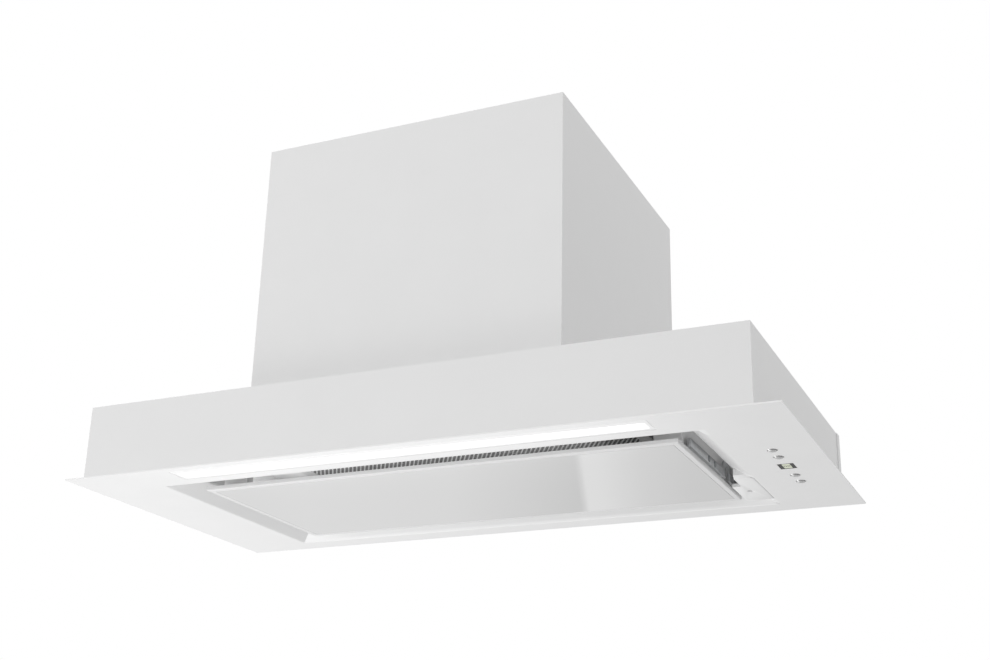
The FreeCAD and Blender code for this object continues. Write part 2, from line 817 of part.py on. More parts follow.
def make_panel():
    """Glass pane in a shallow frame, with a rail along each side for the hinge arms, and strikers."""
    frame_z = (underside, panel_top)
    tray = box("panel_tray", both(half_panel), (panel_front, panel_rear), frame_z)
    border = dim.panel_border
    pocket_x = both(half_panel - border)
    pocket_y = (panel_front + border, panel_rear - border)
    pocket = box("glass_pocket", pocket_x, pocket_y, (underside, underside + dim.glass_thickness))
    sub_part("panel_frame", cut("panel_frame", tray, pocket))

    gap = dim.glass_clearance
    half_length = half_panel - border - gap
    half_depth = (panel_rear - panel_front) / 2 - border - gap
    chamfer = dim.glass_chamfer
    edge = dim.glass_thickness - chamfer
    pane = frustum(
        "glass_bevel",
        (both(half_length - chamfer), around(recess_mid, (half_depth - chamfer) * 2)),
        (both(half_length), around(recess_mid, half_depth * 2)),
        (underside, underside + chamfer),
    )
    slab_z = (underside + chamfer, underside + chamfer + edge)
    slab = box("glass_slab", both(half_length), around(recess_mid, half_depth * 2), slab_z)
    sub_part("panel_glass", fuse("panel_glass", pane, slab))

    strikers = []
    for side, sign in (("left", -1), ("right", 1)):
        plate_z = (panel_top, panel_top + dim.striker_thickness)
        strikers.append(box(f"striker_{side}", on_side(sign, catch_x), catch_y, plate_z))
    sub_part("panel_strikers", group("panel_strikers", *strikers))


def make_hinges():
    """On each side: a rail on the panel, a riveted arm with a curved neck, a pin and a fixed bracket."""
    arm_front = pivot_y - dim.arm_length
    rail_y = (arm_front, arm_front + dim.rail_length)
    arm_low = panel_top + dim.arm_lift
    arm_mid = arm_low + dim.arm_width / 2
    arm_x = (arm_inner, arm_outer)
    bracket_x = (arm_outer + dim.hinge_side_gap, half_well)
    pin_radius = dim.hinge_pin_radius
    head_x = (arm_inner - dim.hinge_pin_head - dim.hinge_side_gap, arm_inner - dim.hinge_side_gap)
    rails = []
    brackets = []
    pins = []
    rivets = []
    for side, sign in (("left", -1), ("right", 1)):

        def along_x(name, span, y, z, radius):
            low, high = on_side(sign, span)
            return cylinder(f"{name}_{side}", "x", (low, y, z), radius, high - low)

        leg = box(
            f"rail_leg_{side}",
            on_side(sign, (arm_inner - dim.rail_leg, arm_inner)),
            rail_y,
            (panel_top, panel_top + dim.rail_thickness),
        )
        web = box(
            f"rail_web_{side}",
            on_side(sign, (half_panel, arm_inner)),
            rail_y,
            (panel_top, panel_top + dim.rail_height),
        )
        rails.append(fuse(f"panel_rail_{side}", leg, web))

        neck_y = pivot_y - dim.neck_from_pivot
        half_width = dim.arm_width / 2
        strip_z = (arm_low, arm_low + dim.arm_width)
        fore = box(f"arm_fore_{side}", on_side(sign, arm_x), (arm_front, neck_y - dim.neck_radius), strip_z)
        aft = box(f"arm_aft_{side}", on_side(sign, arm_x), (neck_y + dim.neck_radius, pivot_y), strip_z)
        neck_outer = along_x("neck_outer", arm_x, neck_y, arm_mid, dim.neck_radius + half_width)
        neck_inner = along_x("neck_inner", arm_x, neck_y, arm_mid, dim.neck_radius - half_width)
        neck_reach = dim.neck_radius + half_width
        below = box(
            f"neck_below_{side}",
            on_side(sign, arm_x),
            around(neck_y, neck_reach * 2),
            (arm_mid - neck_reach, arm_low),
        )
        neck = cut(f"neck_{side}", neck_outer, neck_inner, below)
        eye = along_x("eye", arm_x, pivot_y, pivot_z, dim.eye_radius)
        bore = along_x("eye_bore", arm_x, pivot_y, pivot_z, pin_radius + dim.running_gap)
        name = f"hinge_arm_{side}"
        sub_part(name, cut(name, fuse(f"arm_sheet_{side}", fore, aft, neck, eye), bore))

        plate = box(
            f"bracket_sheet_{side}",
            on_side(sign, bracket_x),
            around(pivot_y, dim.hinge_bracket_length),
            (pivot_z - dim.eye_radius, pivot_z - dim.eye_radius + dim.hinge_bracket_height),
        )
        hole = along_x("bracket_bore", bracket_x, pivot_y, pivot_z, pin_radius + dim.running_gap)
        brackets.append(cut(f"hinge_bracket_{side}", plate, hole))
        stem = along_x("pin_stem", (head_x[1], half_well), pivot_y, pivot_z, pin_radius)
        head = along_x("pin_head", head_x, pivot_y, pivot_z, dim.hinge_pin_head_radius)
        pins.append(fuse(f"hinge_pin_{side}", stem, head))
        for index in range(2):
            rivet_y = pivot_y - dim.rivet_from_pivot - dim.rivet_pitch * index
            rivet_x = (arm_outer, arm_outer + dim.rivet_height)
            rivets.append(along_x(f"rivet_{index}", rivet_x, rivet_y, arm_mid, dim.rivet_radius))
    sub_part("panel_rails", group("panel_rails", *rails))
    sub_part("hinge_brackets", group("hinge_brackets", *brackets))
    sub_part("hinge_pins", group("hinge_pins", *pins))
    sub_part("hinge_rivets", group("hinge_rivets", *rivets))


def make_hinge_cover():
    """White block under the right slope, with a tongue below the hinge bracket, and its sunk screw."""
    steepness = dim.slope_rise / dim.slope_run
    inner = half_well + dim.hinge_side_gap
    outer = half_recess - dim.cover_tip
    under_slope = [
        (inner, underside),
        (outer, underside),
        (outer, underside + steepness * dim.cover_tip),
        (inner, underside + steepness * (half_recess - inner)),
    ]
    block = padded("cover_block", "XZ_Plane", under_slope, dim.cover_length)
    cover_front = cover_rear - dim.cover_length
    bind(block, "Placement.Base.y", cover_rear - dim.cover_length / 2)
    tongue = box(
        "cover_tongue",
        (arm_outer + dim.hinge_side_gap * 2, inner),
        (cover_front + dim.cover_step_length, cover_rear),
        (underside, underside + dim.cover_tongue_thickness),
    )
    step = box(
        "cover_step",
        (inner, inner + dim.cover_step_width),
        (cover_front, cover_front + dim.cover_step_length),
        (underside, slope_top),
    )
    bevel = doc.addObject("Part::Wedge", "cover_bevel_cut")
    bind(bevel, "Xmin", inner)
    bind(bevel, "Xmax", outer)
    bind(bevel, "X2min", inner)
    bind(bevel, "X2max", outer)
    bind(bevel, "Ymin", cover_front)
    bind(bevel, "Ymax", cover_front + dim.cover_bevel)
    bind(bevel, "Zmin", underside)
    bind(bevel, "Zmax", underside + dim.cover_bevel)
    bind(bevel, "Z2min", underside)
    bind(bevel, "Z2max", underside)
    seat_radius = dim.cover_screw_radius + dim.cover_screw_gap
    start = (cover_screw_x, cover_screw_y, underside)
    sunk = (cover_screw_x, cover_screw_y, underside + dim.cover_screw_sink)
    seat_depth = dim.cover_screw_sink + dim.cover_screw_depth
    seat = cylinder("cover_screw_seat", "z", start, seat_radius, seat_depth)
    shank_radius = dim.cover_screw_radius / 2
    hole = cylinder("cover_screw_way", "z", start, shank_radius + dim.cover_screw_gap, dim.slope_rise)
    body = fuse("cover_body", block, tongue)
    sub_part("hinge_cover", cut("hinge_cover", body, step, bevel, seat, hole))
    head = cylinder("cover_screw_head", "z", sunk, dim.cover_screw_radius, dim.cover_screw_depth)
    shank = cylinder("cover_screw_shank", "z", sunk, shank_radius, dim.slope_rise - dim.cover_screw_sink)
    sub_part("hinge_cover_screw", fuse("hinge_cover_screw", head, shank))


def make_catches():
    """Magnet catches behind the side baffles' front turns, over the panel's strikers."""
    catches = []
    low = panel_top + dim.striker_thickness + dim.catch_gap
    for side, sign in (("left", -1), ("right", 1)):
        catches.append(box(f"catch_{side}", on_side(sign, catch_x), catch_y, (low, low + dim.catch_height)))
    sub_part("panel_catches", group("panel_catches", *catches))


def make_motor_box():
    """Wrapped sheet with turned-in flanges, a rear cover and a top with the outlet hole."""
    wall = dim.wall
    height = (body_top, motor_box_top)
    sides_y = (motor_box_front, rear - wall)
    inside_y = (motor_box_front + wall, rear - wall)
    sheets = [box("box_front", both(half_motor_box), (motor_box_front, motor_box_front + wall), height)]
    flange = dim.motor_box_flange
    levels = {"foot": (body_top, body_top + wall), "head": (motor_box_top - wall * 2, motor_box_top - wall)}
    for side, sign in (("left", -1), ("right", 1)):
        span = on_side(sign, (half_box_inside, half_motor_box))
        sheets.append(box(f"box_{side}", span, sides_y, height))
        turn = on_side(sign, (half_box_inside - flange, half_box_inside))
        for level, z in levels.items():
            sheets.append(box(f"box_{level}_{side}", turn, inside_y, z))
    for level, z in levels.items():
        turn_y = (motor_box_front + wall, motor_box_front + wall + flange)
        sheets.append(box(f"box_{level}_front", both(half_box_inside), turn_y, z))
    sub_part("motor_box_wrapper", fuse("motor_box_wrapper", *sheets))
    cover = box("motor_box_rear_cover", both(half_motor_box), (rear - wall, rear), height)
    sub_part("motor_box_rear_cover", cover)
    lid_z = (motor_box_top - wall, motor_box_top)
    lid = box("box_lid", both(half_box_inside), inside_y, lid_z)
    bore_radius = dim.outlet_radius - dim.collar_wall
    outlet = cylinder("outlet_hole", "z", (0, motor_box_mid, lid_z[0]), bore_radius, wall)
    gland_x = -half_box_inside + dim.gland_inset
    gland_y = rear - dim.gland_inset
    gland_way = dim.gland_radius + dim.running_gap
    gland_hole = cylinder("gland_hole", "z", (gland_x, gland_y, lid_z[0]), gland_way, wall)
    sub_part("motor_box_top", cut("motor_box_top", lid, outlet, gland_hole))

    below = motor_box_top - dim.gland_tail
    above = motor_box_top + dim.gland_height
    gland = turned("cable_gland", [
        (dim.gland_bore_radius, below),
        (dim.gland_radius, below),
        (dim.gland_radius, motor_box_top),
        (dim.gland_flange_radius, motor_box_top),
        (dim.gland_flange_radius, motor_box_top + dim.gland_flange_height),
        (dim.gland_radius, motor_box_top + dim.gland_flange_height),
        (dim.gland_radius, above),
        (dim.gland_bore_radius, above),
    ])
    place(gland, gland_x, gland_y, 0)
    sub_part("cable_gland", gland)

    power_x = (half_box_inside - dim.power_box_width, half_box_inside)
    power_low = body_top + dim.power_box_rise
    power_z = (power_low, power_low + dim.power_box_height)
    sub_part("power_box", box("power_box", power_x, around(recess_mid, dim.power_box_length), power_z))
    capacitor_start = (-half_box_inside + dim.capacitor_radius, recess_mid, power_low)
    radius = dim.capacitor_radius
    sub_part("capacitor", cylinder("capacitor", "z", capacitor_start, radius, dim.capacitor_length))

    screws = []
    head = (dim.screw_head_radius, dim.screw_head_height)
    inset_x = half_box_inside - dim.screw_inset
    for sign in (-1, 1):
        for y in (motor_box_front + wall + dim.screw_inset, rear - wall - dim.screw_inset):
            name = f"lid_screw_{len(screws)}"
            screws.append(cylinder(name, "z", (inset_x * sign, y, motor_box_top), *head))
    screw_circle = dim.outlet_radius + dim.collar_flange / 2
    flange_top = motor_box_top + dim.gasket_thickness + dim.collar_wall
    for x_sign, y_sign in ((1, 0), (0, 1), (-1, 0), (0, -1)):
        spot = (screw_circle * x_sign, motor_box_mid + screw_circle * y_sign, flange_top)
        screws.append(cylinder(f"collar_screw_{len(screws)}", "z", spot, *head))
    sub_part("case_screws", group("case_screws", *screws))


def make_outlet():
    """Duct collar on a gasket, with two half-round flaps that hang on one axle across it."""
    radius = dim.outlet_radius
    bore = radius - dim.collar_wall
    rim = radius + dim.collar_flange
    base = motor_box_top + dim.gasket_thickness
    gasket_section = [(bore, motor_box_top), (rim, motor_box_top), (rim, base), (bore, base)]
    gasket = turned("outlet_gasket", gasket_section)
    place(gasket, 0, motor_box_mid, 0)
    sub_part("outlet_gasket", gasket)
    flap_mid = base + dim.flap_level
    stop_top = flap_mid - dim.flap_thickness / 2 - dim.slide_gap
    stop_low = stop_top - dim.flap_stop_height
    stop_inner = bore - dim.flap_stop_width
    collar = turned("collar_turned", [
        (bore, base),
        (rim, base),
        (rim, base + dim.collar_wall),
        (radius, base + dim.collar_wall),
        (radius, base + dim.collar_height),
        (bore, base + dim.collar_height),
        (bore, stop_top),
        (stop_inner, stop_top),
        (stop_inner, stop_low),
        (bore, stop_low),
    ])
    place(collar, 0, motor_box_mid, 0)
    axle_start = (-radius, motor_box_mid, flap_mid)
    axle_way = cylinder("axle_way", "x", axle_start, dim.axle_radius + dim.running_gap, radius * 2)
    sub_part("outlet_collar", cut("outlet_collar", collar, axle_way))
    axle = cylinder("damper_axle", "x", axle_start, dim.axle_radius, radius * 2)
    sub_part("damper_axle", axle)
    for side, sign in (("front", -1), ("rear", 1)):
        make_flap(side, sign, bore - dim.flap_rim_clearance, flap_mid)


# Knuckles' places on the axle, in pitches from its middle
KNUCKLE_STEPS = {"front": (-1.5, 0.5), "rear": (-0.5, 1.5)}


def make_flap(side, sign, radius, level):
    """A half disc set back from the axle, joined to it by two knuckles that miss the other flap's."""
    thickness = dim.flap_thickness
    low = level - thickness / 2
    disc = cylinder(f"flap_disc_{side}", "z", (0, motor_box_mid, low), radius, thickness)
    reach = motor_box_mid + radius * sign
    edge = motor_box_mid + dim.flap_setback * sign
    half_y = (edge, reach) if sign > 0 else (reach, edge)
    half_box = box(f"flap_half_{side}", both(radius), half_y, (low, low + thickness))
    half_disc = doc.addObject("Part::Common", f"flap_sheet_{side}")
    half_disc.Base = disc
    half_disc.Tool = half_box
    pieces = [half_disc]
    bores = []
    for index, steps in enumerate(KNUCKLE_STEPS[side]):
        span = around(dim.knuckle_pitch * steps, dim.knuckle_length)
        start = (span[0], motor_box_mid, level)
        name = f"{side}_{index}"
        pieces.append(cylinder(f"knuckle_{name}", "x", start, dim.knuckle_radius, dim.knuckle_length))
        web_y = (motor_box_mid, edge) if sign > 0 else (edge, motor_box_mid)
        pieces.append(box(f"knuckle_web_{name}", span, web_y, (low, low + thickness)))
        bore_radius = dim.axle_radius + dim.running_gap
        bores.append(cylinder(f"knuckle_bore_{name}", "x", start, bore_radius, dim.knuckle_length))
    node = f"damper_flap_{side}"
    sub_part(node, cut(node, fuse(f"flap_solid_{side}", *pieces), *bores))


def scroll_face(grow, top):
    """Three quarter arcs of growing radius and a straight outlet, seen along the fan's axle."""
    growth = dim.scroll_growth.value
    start_radius = dim.scroll_start_radius.value + grow
    y = fan_y.value
    z = dim.fan_height.value
    centres = [
        FreeCAD.Vector(0, y - growth / 2, z - growth / 2),
        FreeCAD.Vector(0, y + growth / 2, z - growth / 2),
        FreeCAD.Vector(0, y + growth / 2, z + growth / 2),
    ]

    def rim(index, degrees):
        angle = math.radians(degrees)
        radius = start_radius + index * growth
        return centres[index] + FreeCAD.Vector(0, math.cos(angle), math.sin(angle)) * radius

    lead = math.degrees(math.asin(grow / start_radius))
    quarters = ((90 + lead, 180), (180, 270), (270, 360))
    edges = []
    for index, (begin, end) in enumerate(quarters):
        middle = (begin + end) / 2
        edges.append(Part.Arc(rim(index, begin), rim(index, middle), rim(index, end)).toShape())
    outlet_rear = rim(2, 360)
    tongue = rim(0, 90 + lead)
    rear_top = FreeCAD.Vector(0, outlet_rear.y, top)
    front_top = FreeCAD.Vector(0, tongue.y, top)
    edges.append(Part.LineSegment(outlet_rear, rear_top).toShape())
    edges.append(Part.LineSegment(rear_top, front_top).toShape())
    edges.append(Part.LineSegment(front_top, tongue).toShape())
    return Part.Face(Part.Wire(edges))


def make_fan():
    """Double-inlet scroll under the outlet, with the motor inside its impeller on a three-arm bracket."""
    skin = dim.scroll_wall.value
    half = dim.scroll_width.value / 2
    top = (motor_box_top - dim.wall).value
    y = fan_y.value
    z = dim.fan_height.value
    along = FreeCAD.Vector(1, 0, 0)

    def disc(radius, low, high):
        return Part.makeCylinder(radius, high - low, FreeCAD.Vector(low, y, z), along)

    def centred(face, half_length):
        solid = face.extrude(along * (half_length * 2))
        solid.translate(along * -half_length)
        return solid

    inside = scroll_face(0, top)
    shell = centred(scroll_face(skin, top), half + skin)
    outlet = inside.BoundBox
    flange = dim.scroll_flange.value + skin
    outlet_front = y - dim.scroll_growth.value / 2
    rim_size = (2 * (half + flange), outlet.YMax - outlet_front + 2 * flange, skin)
    rim = Part.makeBox(*rim_size, FreeCAD.Vector(-half - flange, outlet_front - flange, top - skin))
    inlet = disc(dim.inlet_radius.value, -half - skin, half + skin)
    scroll = shell.fuse(rim).cut(centred(inside, half)).cut(inlet)
    sub_part("scroll_housing", shaped("scroll_housing", scroll.removeSplitter()))

    hub_half = dim.hub_length.value / 2
    motor_high = -hub_half - dim.motor_hub_gap.value
    motor_low = motor_high - dim.motor_length.value
    shaft_radius = dim.shaft_radius.value
    bore_radius = shaft_radius + dim.running_gap.value
    shaft_high = hub_half + dim.nut_length.value
    shaft_low = shaft_high - dim.shaft_length.value
    sub_part("motor_shaft", shaped("motor_shaft", disc(shaft_radius, shaft_low, shaft_high)))
    motor = disc(dim.motor_radius.value, motor_low, motor_high)
    motor = motor.cut(disc(bore_radius, shaft_low - dim.running_gap.value, motor_high))
    sub_part("motor", shaped("motor", motor))

    arm_thickness = dim.bracket_arm_thickness.value
    arm_low = -half - skin - arm_thickness
    bracket = disc(dim.bracket_boss_radius.value, arm_low, motor_low)
    arm_reach = dim.inlet_radius.value + dim.bracket_arm_lap.value
    arm_width = dim.bracket_arm_width.value
    arm_count = int(dim.bracket_arm_count.value)
    for index in range(arm_count):
        corner = FreeCAD.Vector(arm_low, y - arm_width / 2, z)
        arm = Part.makeBox(arm_thickness, arm_width, arm_reach, corner)
        arm.rotate(FreeCAD.Vector(0, y, z), along, 360 * index / arm_count)
        bracket = bracket.fuse(arm)
    sub_part("motor_bracket", shaped("motor_bracket", bracket.removeSplitter()))

    nut = disc(dim.nut_radius.value, hub_half, shaft_high).cut(disc(bore_radius, hub_half, shaft_high))
    sub_part("impeller_nut", shaped("impeller_nut", nut))
    make_impeller(disc, y, z, bore_radius)


def make_impeller(disc, y, z, bore_radius):
    """Centre disc with a hub, a rim ring at each end, and inclined blades from the disc to each ring."""
    radius = dim.impeller_radius.value
    half = dim.impeller_width.value / 2
    ring = dim.impeller_ring.value
    length = dim.blade_length.value
    thickness = dim.blade_thickness.value
    inner = radius - length
    hub_half = dim.hub_length.value / 2
    wheel = disc(radius, -ring / 2, ring / 2).fuse(disc(dim.hub_radius.value, -hub_half, hub_half))
    wheel = wheel.cut(disc(bore_radius, -hub_half, hub_half))
    sub_part("impeller", shaped("impeller", wheel))
    along = FreeCAD.Vector(1, 0, 0)
    centre = FreeCAD.Vector(0, y, z)
    middle = FreeCAD.Vector(0, y, z + radius - length / 2)
    count = int(dim.blade_count.value)
    rings = []
    blades = []
    for ring_low, blade_low in ((-half, -half + ring), (half - ring, ring / 2)):
        rings.append(disc(radius, ring_low, ring_low + ring).cut(disc(inner, ring_low, ring_low + ring)))
        for index in range(count):
            corner = FreeCAD.Vector(blade_low, y - thickness / 2, z + inner + ring / 2)
            blade = Part.makeBox(half - ring * 3 / 2, thickness, length - ring, corner)
            blade.rotate(middle, along, dim.blade_angle.value)
            blade.rotate(centre, along, 360 * index / count)
            blades.append(blade)
    sub_part("impeller_rings", shaped("impeller_rings", Part.makeCompound(rings)))
    sub_part("impeller_blades", shaped("impeller_blades", Part.makeCompound(blades)))


def write_parts():
    """Check every object and sub-part, then write one file for each sub-part."""
    doc.recompute()
    for item in doc.Objects:
        if {"Invalid", "Error"} & set(item.State):
            raise RuntimeError(f"{item.Name} failed: {item.State}")
    for node, item in sub_parts.items():
        if item.Shape.isNull() or not item.Shape.isValid():
            raise RuntimeError(f"{node} has no valid shape")
    os.makedirs("parts", exist_ok=True)
    for node, item in sub_parts.items():
        item.Shape.exportStep(f"parts/{node}.step")
        print(f"{node}: {len(item.Shape.Solids)} solid(s), {item.Shape.Volume / 1000:.1f} cm3")


make_flange_plate()
make_body_shell()
make_plenum()
make_side_baffles()
make_grease_filter()
make_light_strip()
make_controls()
make_panel()
make_hinges()
make_hinge_cover()
make_catches()
make_motor_box()
make_outlet()
make_fan()
write_parts()
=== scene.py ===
"""Looks of a built-in range hood: enamelled sheet, a glass inlet panel, a light strip and controls.

Metres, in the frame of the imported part: +X is right, +Y is towards the wall and +Z is up. The origin is
the middle of the flange plate's upper face.
"""
import json
import logging
import math
from collections.abc import Sequence
from dataclasses import dataclass, field
from enum import Enum
from functools import cache, cached_property
from typing import Any, Self

import bmesh
import bpy
import numpy as np
from mathutils import Matrix, Vector


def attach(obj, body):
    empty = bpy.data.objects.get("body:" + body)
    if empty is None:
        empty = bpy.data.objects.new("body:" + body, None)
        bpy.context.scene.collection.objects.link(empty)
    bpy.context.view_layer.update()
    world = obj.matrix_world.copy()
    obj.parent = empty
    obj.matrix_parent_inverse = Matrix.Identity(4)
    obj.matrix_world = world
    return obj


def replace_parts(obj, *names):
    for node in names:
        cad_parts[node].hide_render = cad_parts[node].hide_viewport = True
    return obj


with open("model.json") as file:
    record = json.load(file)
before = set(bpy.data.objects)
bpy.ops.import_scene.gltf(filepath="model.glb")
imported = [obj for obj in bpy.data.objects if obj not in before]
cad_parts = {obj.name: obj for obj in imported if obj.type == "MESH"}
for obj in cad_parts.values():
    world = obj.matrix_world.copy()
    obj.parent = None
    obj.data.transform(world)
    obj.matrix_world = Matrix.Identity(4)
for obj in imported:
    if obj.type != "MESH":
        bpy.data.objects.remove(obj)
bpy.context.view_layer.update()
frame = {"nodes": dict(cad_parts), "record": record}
LOG = logging.getLogger("range_hood")

MM = 0.001
HOLD = 1 * MM  # how far from a bend a line keeps the face beside it flat
LIFT = 0.02 * MM  # room between faces that would lie in one plane
WELD = 0.002 * MM  # points closer than this are one
SNAP = 0.05 * MM  # how far a point may be from a side and still belong to it
CLOSE = 0.001 * MM  # how far a line may be from an edge and still lie on it
SHARP = 32.0  # degrees above which an edge stays sharp
UNIT = (0.0, 1.0)

Array = np.ndarray
Socket = bpy.types.NodeSocket
Piece = bpy.types.Object
Colour = tuple[float, float, float]
Spot = tuple[float, float, float]
Pair = tuple[float, float]
Hole = tuple[Pair, Pair]
Shading = tuple[Socket, Socket]


class Effect(Enum):
    """Surface effects that several finishes share; each is one shader node group."""

    GRAIN = "fine_grain"
    BRUSHED = "brushed_lines"
    SPANGLE = "zinc_spangle"
    CLOUD = "slow_cloud"
    MESH = "stretched_mesh"


class Body(Enum):
    """Moving groups of the part that new pieces ride on."""

    HOOD = "hood"
    PANEL = "panel"
    BUTTON = "button_{}"


def grey(level: float) -> Colour:
    """Return a neutral colour."""
    return (level, level, level)


class Bench:
    """A shader node tree that is being wired."""

    def __init__(self, tree: bpy.types.NodeTree) -> None:
        """Take a tree and empty it."""
        self.tree = tree
        tree.nodes.clear()

    def node(self, kind: str, inputs: dict[Any, Any] | None = None, **settings: Any) -> bpy.types.Node:
        """Add a node.

        Args:
            kind: Blender's name for the type of node.
            inputs: Values or output sockets for its inputs, by name or number.
            settings: Values for its properties.

        Returns:
            The new node.
        """
        made = self.tree.nodes.new(kind)
        for name, value in settings.items():
            setattr(made, name, value)
        for name, value in (inputs or {}).items():
            self.feed(made.inputs[name], value)
        return made

    def feed(self, socket: Socket, value: Any) -> None:
        """Link an output socket to an input, or set the input's own value.

        Args:
            socket: The input.
            value: An output socket, or a number, vector or colour.
        """
        if isinstance(value, Socket):
            self.tree.links.new(value, socket)
        else:
            socket.default_value = value

    def maths(self, operation: str, *values: Any) -> Socket:
        """Add a Math node for these numbers or sockets, and return its output."""
        return self.node("ShaderNodeMath", dict(enumerate(values)), operation=operation).outputs[0]

    def place(self) -> Socket:
        """Return the point on the surface, in the part's frame."""
        return self.node("ShaderNodeTexCoord").outputs["Object"]

    def axes(self, vector: Socket) -> bpy.types.bpy_prop_collection:
        """Return a vector's parts, to be had by X, Y and Z."""
        return self.node("ShaderNodeSeparateXYZ", {"Vector": vector}).outputs

    def ranged(self, value: Socket, old: Pair = UNIT, new: Pair = UNIT, kind: str = "LINEAR") -> Socket:
        """Map a range of a value to another range, and hold it there.

        Args:
            value: The value.
            old: The ends of its range.
            new: What they become.
            kind: Blender's name for the way between them.

        Returns:
            The mapped value.
        """
        inputs = {"Value": value, "From Min": old[0], "From Max": old[1], "To Min": new[0], "To Max": new[1]}
        return self.node("ShaderNodeMapRange", inputs, interpolation_type=kind).outputs["Result"]

    def ramp(self, value: Socket, stops: Sequence[tuple[float, Colour]]) -> Socket:
        """Turn a value from 0 to 1 into a colour.

        Args:
            value: The value.
            stops: Values in rising order, each with its colour.

        Returns:
            The colour.
        """
        made = self.node("ShaderNodeValToRGB", {"Fac": value})
        elements = made.color_ramp.elements
        while len(elements) < len(stops):
            elements.new(0.5)
        for element, (position, colour) in zip(elements, stops):
            element.position = position
            element.color = (*colour, 1.0)
        return made.outputs["Color"]

    def noise(self, place: Socket, scale: Any, detail: float) -> Socket:
        """Return soft noise from 0 to 1, with so many spots per metre and so many finer layers."""
        inputs = {"Vector": place, "Scale": scale, "Detail": detail, "Roughness": 0.55}
        return self.node("ShaderNodeTexNoise", inputs).outputs["Fac"]

    def emit(self, shader: bpy.types.Node, colour: Socket, strength: float) -> None:
        """Let a shader give light of a colour and a strength."""
        self.feed(shader.inputs["Emission Color"], colour)
        self.feed(shader.inputs["Emission Strength"], strength)


class EffectBench(Bench):
    """The node group of one effect: inputs Scale and Stretch, outputs Height and Shade, both from 0 to 1.

    Each draw method wires an effect from the stretched coordinates, at, and the marks per metre, scale.
    """

    SOCKETS = (
        ("Scale", "INPUT", "NodeSocketFloat"), ("Stretch", "INPUT", "NodeSocketVector"),
        ("Height", "OUTPUT", "NodeSocketFloat"), ("Shade", "OUTPUT", "NodeSocketFloat"),
    )

    def __init__(self, effect: Effect) -> None:
        """Build the group.

        Args:
            effect: The effect.
        """
        super().__init__(bpy.data.node_groups.new(effect.value, "ShaderNodeTree"))
        for name, way, kind in self.SOCKETS:
            self.tree.interface.new_socket(name, in_out=way, socket_type=kind)
        given = self.node("NodeGroupInput").outputs
        inputs = {0: self.place(), 1: given["Stretch"]}
        self.at = self.node("ShaderNodeVectorMath", inputs, operation="MULTIPLY").outputs[0]
        self.scale = given["Scale"]
        height, shade = getattr(self, f"draw_{effect.value}")()
        self.node("NodeGroupOutput", {"Height": height, "Shade": shade})

    def draw_fine_grain(self) -> Shading:
        """Pebbled skin of enamel or moulded plastic, over a change of shade that is 60 times as wide."""
        slow = self.maths("DIVIDE", self.scale, 60.0)
        return self.noise(self.at, self.scale, 1.0), self.noise(self.at, slow, 3.0)

    def draw_brushed_lines(self) -> Shading:
        """Noise drawn out into lines by the stretch; the shade also wanders 25 times as slowly.

        Returns:
            Height and shade.
        """
        lines = self.noise(self.at, self.scale, 2.0)
        wander = self.noise(self.at, self.maths("DIVIDE", self.scale, 25.0), 2.0)
        shares = (self.maths("MULTIPLY", lines, 0.6), self.maths("MULTIPLY", wander, 0.4))
        return lines, self.maths("ADD", *shares)

    def draw_zinc_spangle(self) -> Shading:
        """Flat zinc crystals, each with its own shade, under noise that is 8 times as fine.

        Returns:
            Height and shade.
        """
        crystals = self.node("ShaderNodeTexVoronoi", {"Vector": self.at, "Scale": self.scale}).outputs
        parts = self.node("ShaderNodeSeparateColor", {"Color": crystals["Color"]}).outputs
        return self.noise(self.at, self.maths("MULTIPLY", self.scale, 8.0), 2.0), parts["Red"]

    def draw_slow_cloud(self) -> Shading:
        """Wide soft clouds, as wiping leaves on a glossy face."""
        cloud = self.noise(self.at, self.scale, 4.0)
        return cloud, cloud

    def draw_stretched_mesh(self) -> Shading:
        """Diamond mesh: the product of two waves that cross on the slant.

        Returns:
            Height and shade.
        """
        parts = self.axes(self.at)
        waves = []
        for slant in ("ADD", "SUBTRACT"):
            along = self.maths(slant, parts["X"], parts["Y"])
            turn = self.maths("MULTIPLY", along, self.maths("MULTIPLY", self.scale, math.tau))
            waves.append(self.maths("ABSOLUTE", self.maths("SINE", turn)))
        crossed = self.maths("MULTIPLY", *waves)
        return crossed, crossed


@cache
def effect_group(effect: Effect) -> bpy.types.NodeTree:
    """Return an effect's node group, built at the first call."""
    return EffectBench(effect).tree


